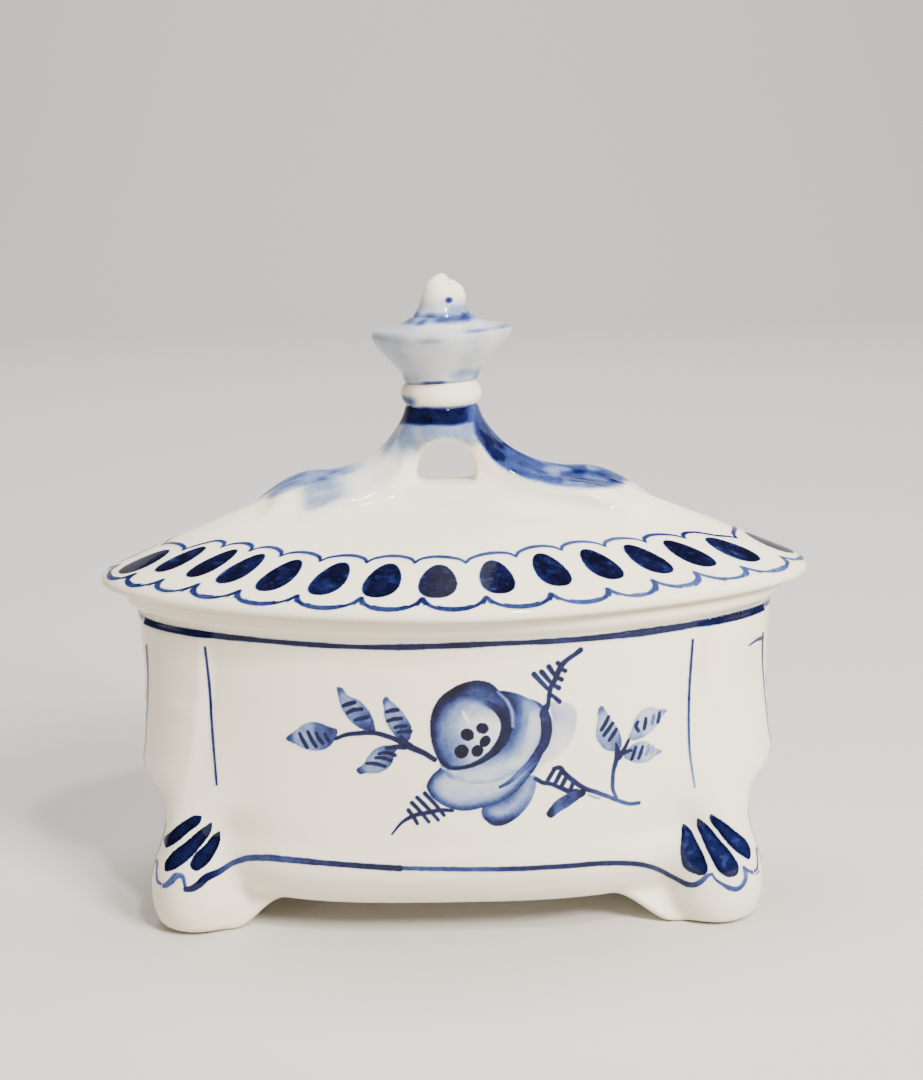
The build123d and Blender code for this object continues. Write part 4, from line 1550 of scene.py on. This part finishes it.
# the handle is cut from the lid's own field on a finer grid
HANDLE_LOW = np.array([KNOP_X - 38.0, -13.5, SEAT + 11.4])
HANDLE_HIGH = np.array([KNOP_X + 40.0, 13.5, SEAT + COLLAR_Z + 1.5])
LID_LOW = (-LID_A - 1.5, -LID_B - 1.5, SEAT - FLANGE_DROP - 1.5)
LID_HIGH = (LID_A + 1.5, LID_B + 1.5, SEAT + COLLAR_Z + 1.5)
lid_verts, lid_faces = surface_net(lid_field, LID_LOW, LID_HIGH, LID_CELL)
lid_bed = BVHTree.FromPolygons(settle(lid_field, lid_verts).tolist(), lid_faces.tolist())
inner = np.all((lid_verts > HANDLE_LOW + 0.7) & (lid_verts < HANDLE_HIGH - 0.2), axis=1)
outer = ~np.all(inner[lid_faces], axis=1)
lid_skin = skin_from("lid_skin", lid_field, *split(lid_verts, lid_faces, outer), glaze)
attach(lid_skin, "lid")
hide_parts("lid_dome", "lid_flange")

handle_net = surface_net(lid_field, HANDLE_LOW, HANDLE_HIGH, HANDLE_CELL)
handle_skin = skin_from("handle_skin", lid_field, *handle_net, painted, handle_ink)
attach(handle_skin, "lid")
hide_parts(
    "strap_front_left", "strap_front_right", "strap_back_left", "strap_back_right", "knop_stem",
)

for part, field, ink, low, high in (
    ("knop_collar", collar_field, collar_ink, COLLAR_Z - 0.8, CUP_Z + 0.8),
    ("knop_cup", cup_field, cup_ink, CUP_Z - 1.0, BUD_Z + 2.0),
    ("knop_bud", bud_field, bud_ink, BUD_Z - 2.2, BUD_TOP + 0.8),
):
    net = surface_net(
        field, (KNOP_X - 13.5, -13.5, SEAT + low), (KNOP_X + 13.5, 13.5, SEAT + high), KNOP_CELL,
    )
    skin = skin_from(f"{part}_skin", field, *net, painted, ink)
    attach(skin, "lid")
    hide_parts(part)

spray = Sheet(-52.0, 52.0, 6.0, 52.0)
rose_spray(spray)
front_lines(spray)
toes(spray)
for name, turn in (("front_spray", 1.0), ("back_spray", -1.0)):
    lay_film(
        name, spray, lambda u, v: front_place(u, v, turn), box_field, box_bed, "box",
        wash_glaze,
    )

for name, turn in (("right_sprig", 1.0), ("left_sprig", -1.0)):
    sprig = Sheet(-15.5, 15.5, 10.5, 51.0)
    end_sprig(sprig)
    if turn > 0.0:  # a short stroke that runs over from the end panel onto the corner
        sprig.stroke([(10.4, 46.9), (12.4, 47.1), (14.6, 46.7)], (0.85, 0.60, 0.35), (0.94, 0.86, 0.66))
    lay_film(
        name, sprig, lambda u, v: end_place(u, v, turn), box_field, box_bed, "box", wash_glaze,
    )

whole = RING_R * math.pi
band = Sheet(-whole, whole, 50.9, 53.4, 0.16)
band.u = np.linspace(-whole, whole, len(band.u))
rim_line(band)
lay_film("rim_line", band, ring_place, box_field, box_bed, "box", line_glaze)

paw = Sheet(5.5, 21.5, 5.5, 22.5)
foot_end(paw)
for name, side, place in (
    ("front_left_paw", -1, -1),
    ("front_right_paw", 1, -1),
    ("back_left_paw", -1, 1),
    ("back_right_paw", 1, 1),
):
    lay_film(
        name, paw, lambda u, v: foot_place(u, v, side, place), box_field, box_bed, "box",
        line_glaze, 0.06,
    )

border = Sheet(0.0, BORDER_LENGTH, -0.2, 19.6, 0.17)
border.u = np.linspace(0.0, BORDER_LENGTH, len(border.u))
lid_border(border)
lay_film("lid_border", border, border_place, lid_field, lid_bed, "lid", line_glaze)

# ------------------------------------------------------------------ stage

profile = [(-4.0, 0.0), (1.2, 0.0)]
profile += [(1.2 + 0.8 * math.sin(t), 0.8 - 0.8 * math.cos(t)) for t in np.linspace(0.0, math.pi / 2, 17)[1:]]
profile += [(2.0, 1.2)]
floor_mesh = bpy.data.meshes.new("floor")
floor_mesh.from_pydata(
    [(side, y, z) for y, z in profile for side in (-5.0, 5.0)],
    [],
    [(2 * k, 2 * k + 1, 2 * k + 3, 2 * k + 2) for k in range(len(profile) - 1)],
)
floor_mesh.polygons.foreach_set("use_smooth", [True] * len(floor_mesh.polygons))
floor = bpy.data.objects.new("floor", floor_mesh)
bpy.context.scene.collection.objects.link(floor)
floor_material = bpy.data.materials.new("floor")
floor_material.use_nodes = True
floor_shader = floor_material.node_tree.nodes["Principled BSDF"]
floor_shader.inputs["Base Color"].default_value = (0.62, 0.61, 0.59, 1)
floor_shader.inputs["Roughness"].default_value = 0.6
floor_mesh.materials.append(floor_material)

world = bpy.data.worlds.new("studio")
bpy.context.scene.world = world
world.use_nodes = True
world.node_tree.nodes["Background"].inputs["Color"].default_value = (1.0, 0.985, 0.96, 1)
world.node_tree.nodes["Background"].inputs["Strength"].default_value = 0.10


def area_light(name, place, target, size, power, colour, mirrored=True):
    data = bpy.data.lights.new(name, "AREA")
    data.shape = "RECTANGLE"
    data.size = size[0]
    data.size_y = size[1]
    data.energy = power
    data.color = colour
    light = bpy.data.objects.new(name, data)
    light.location = place
    light.rotation_euler = (Vector(target) - Vector(place)).to_track_quat("-Z", "Y").to_euler()
    light.visible_glossy = mirrored
    bpy.context.scene.collection.objects.link(light)


area_light("key", (0.44, -0.50, 0.50), (0, 0, 0.05), (0.22, 0.22), 14.5, (1.0, 0.94, 0.82), False)
area_light("spark", (0.16, -0.34, 0.55), (0, 0, 0.07), (0.05, 0.05), 2.6, (1.0, 0.97, 0.92))
area_light("top", (-0.05, 0.10, 0.75), (0, 0, 0.05), (0.4, 0.3), 3.5, (1.0, 0.97, 0.93), False)
area_light("fill", (-0.60, -0.55, 0.30), (0, 0, 0.05), (0.5, 0.5), 2.0, (1.0, 0.84, 0.68), False)
area_light("backdrop", (0.0, 0.5, 1.2), (0, 1.8, 0.2), (1.6, 0.5), 36.0, (1.0, 0.98, 0.95), False)

camera_data = bpy.data.cameras.new("camera")
camera_data.lens = 60.0
camera_data.sensor_width = 36.0
camera_data.clip_start = 0.01
camera = bpy.data.objects.new("camera", camera_data)
bpy.context.scene.collection.objects.link(camera)
distance = 0.322
pitch = math.radians(11.5)
yaw = math.radians(0.2)
roll = math.radians(-1.2)
aim = Vector((0.0015, 0.0, SEAT / 1000 + 0.0063))
back = Vector((math.sin(yaw) * math.cos(pitch), -math.cos(yaw) * math.cos(pitch), math.sin(pitch)))
right = (-back).cross(Vector((0, 0, 1))).normalized()
up = right.cross(-back)
turned_right = math.cos(roll) * right + math.sin(roll) * up
turned_up = -math.sin(roll) * right + math.cos(roll) * up
axes = Matrix((turned_right, turned_up, back)).transposed()
camera.matrix_world = Matrix.Translation(aim + distance * back) @ axes.to_4x4()
bpy.context.scene.camera = camera
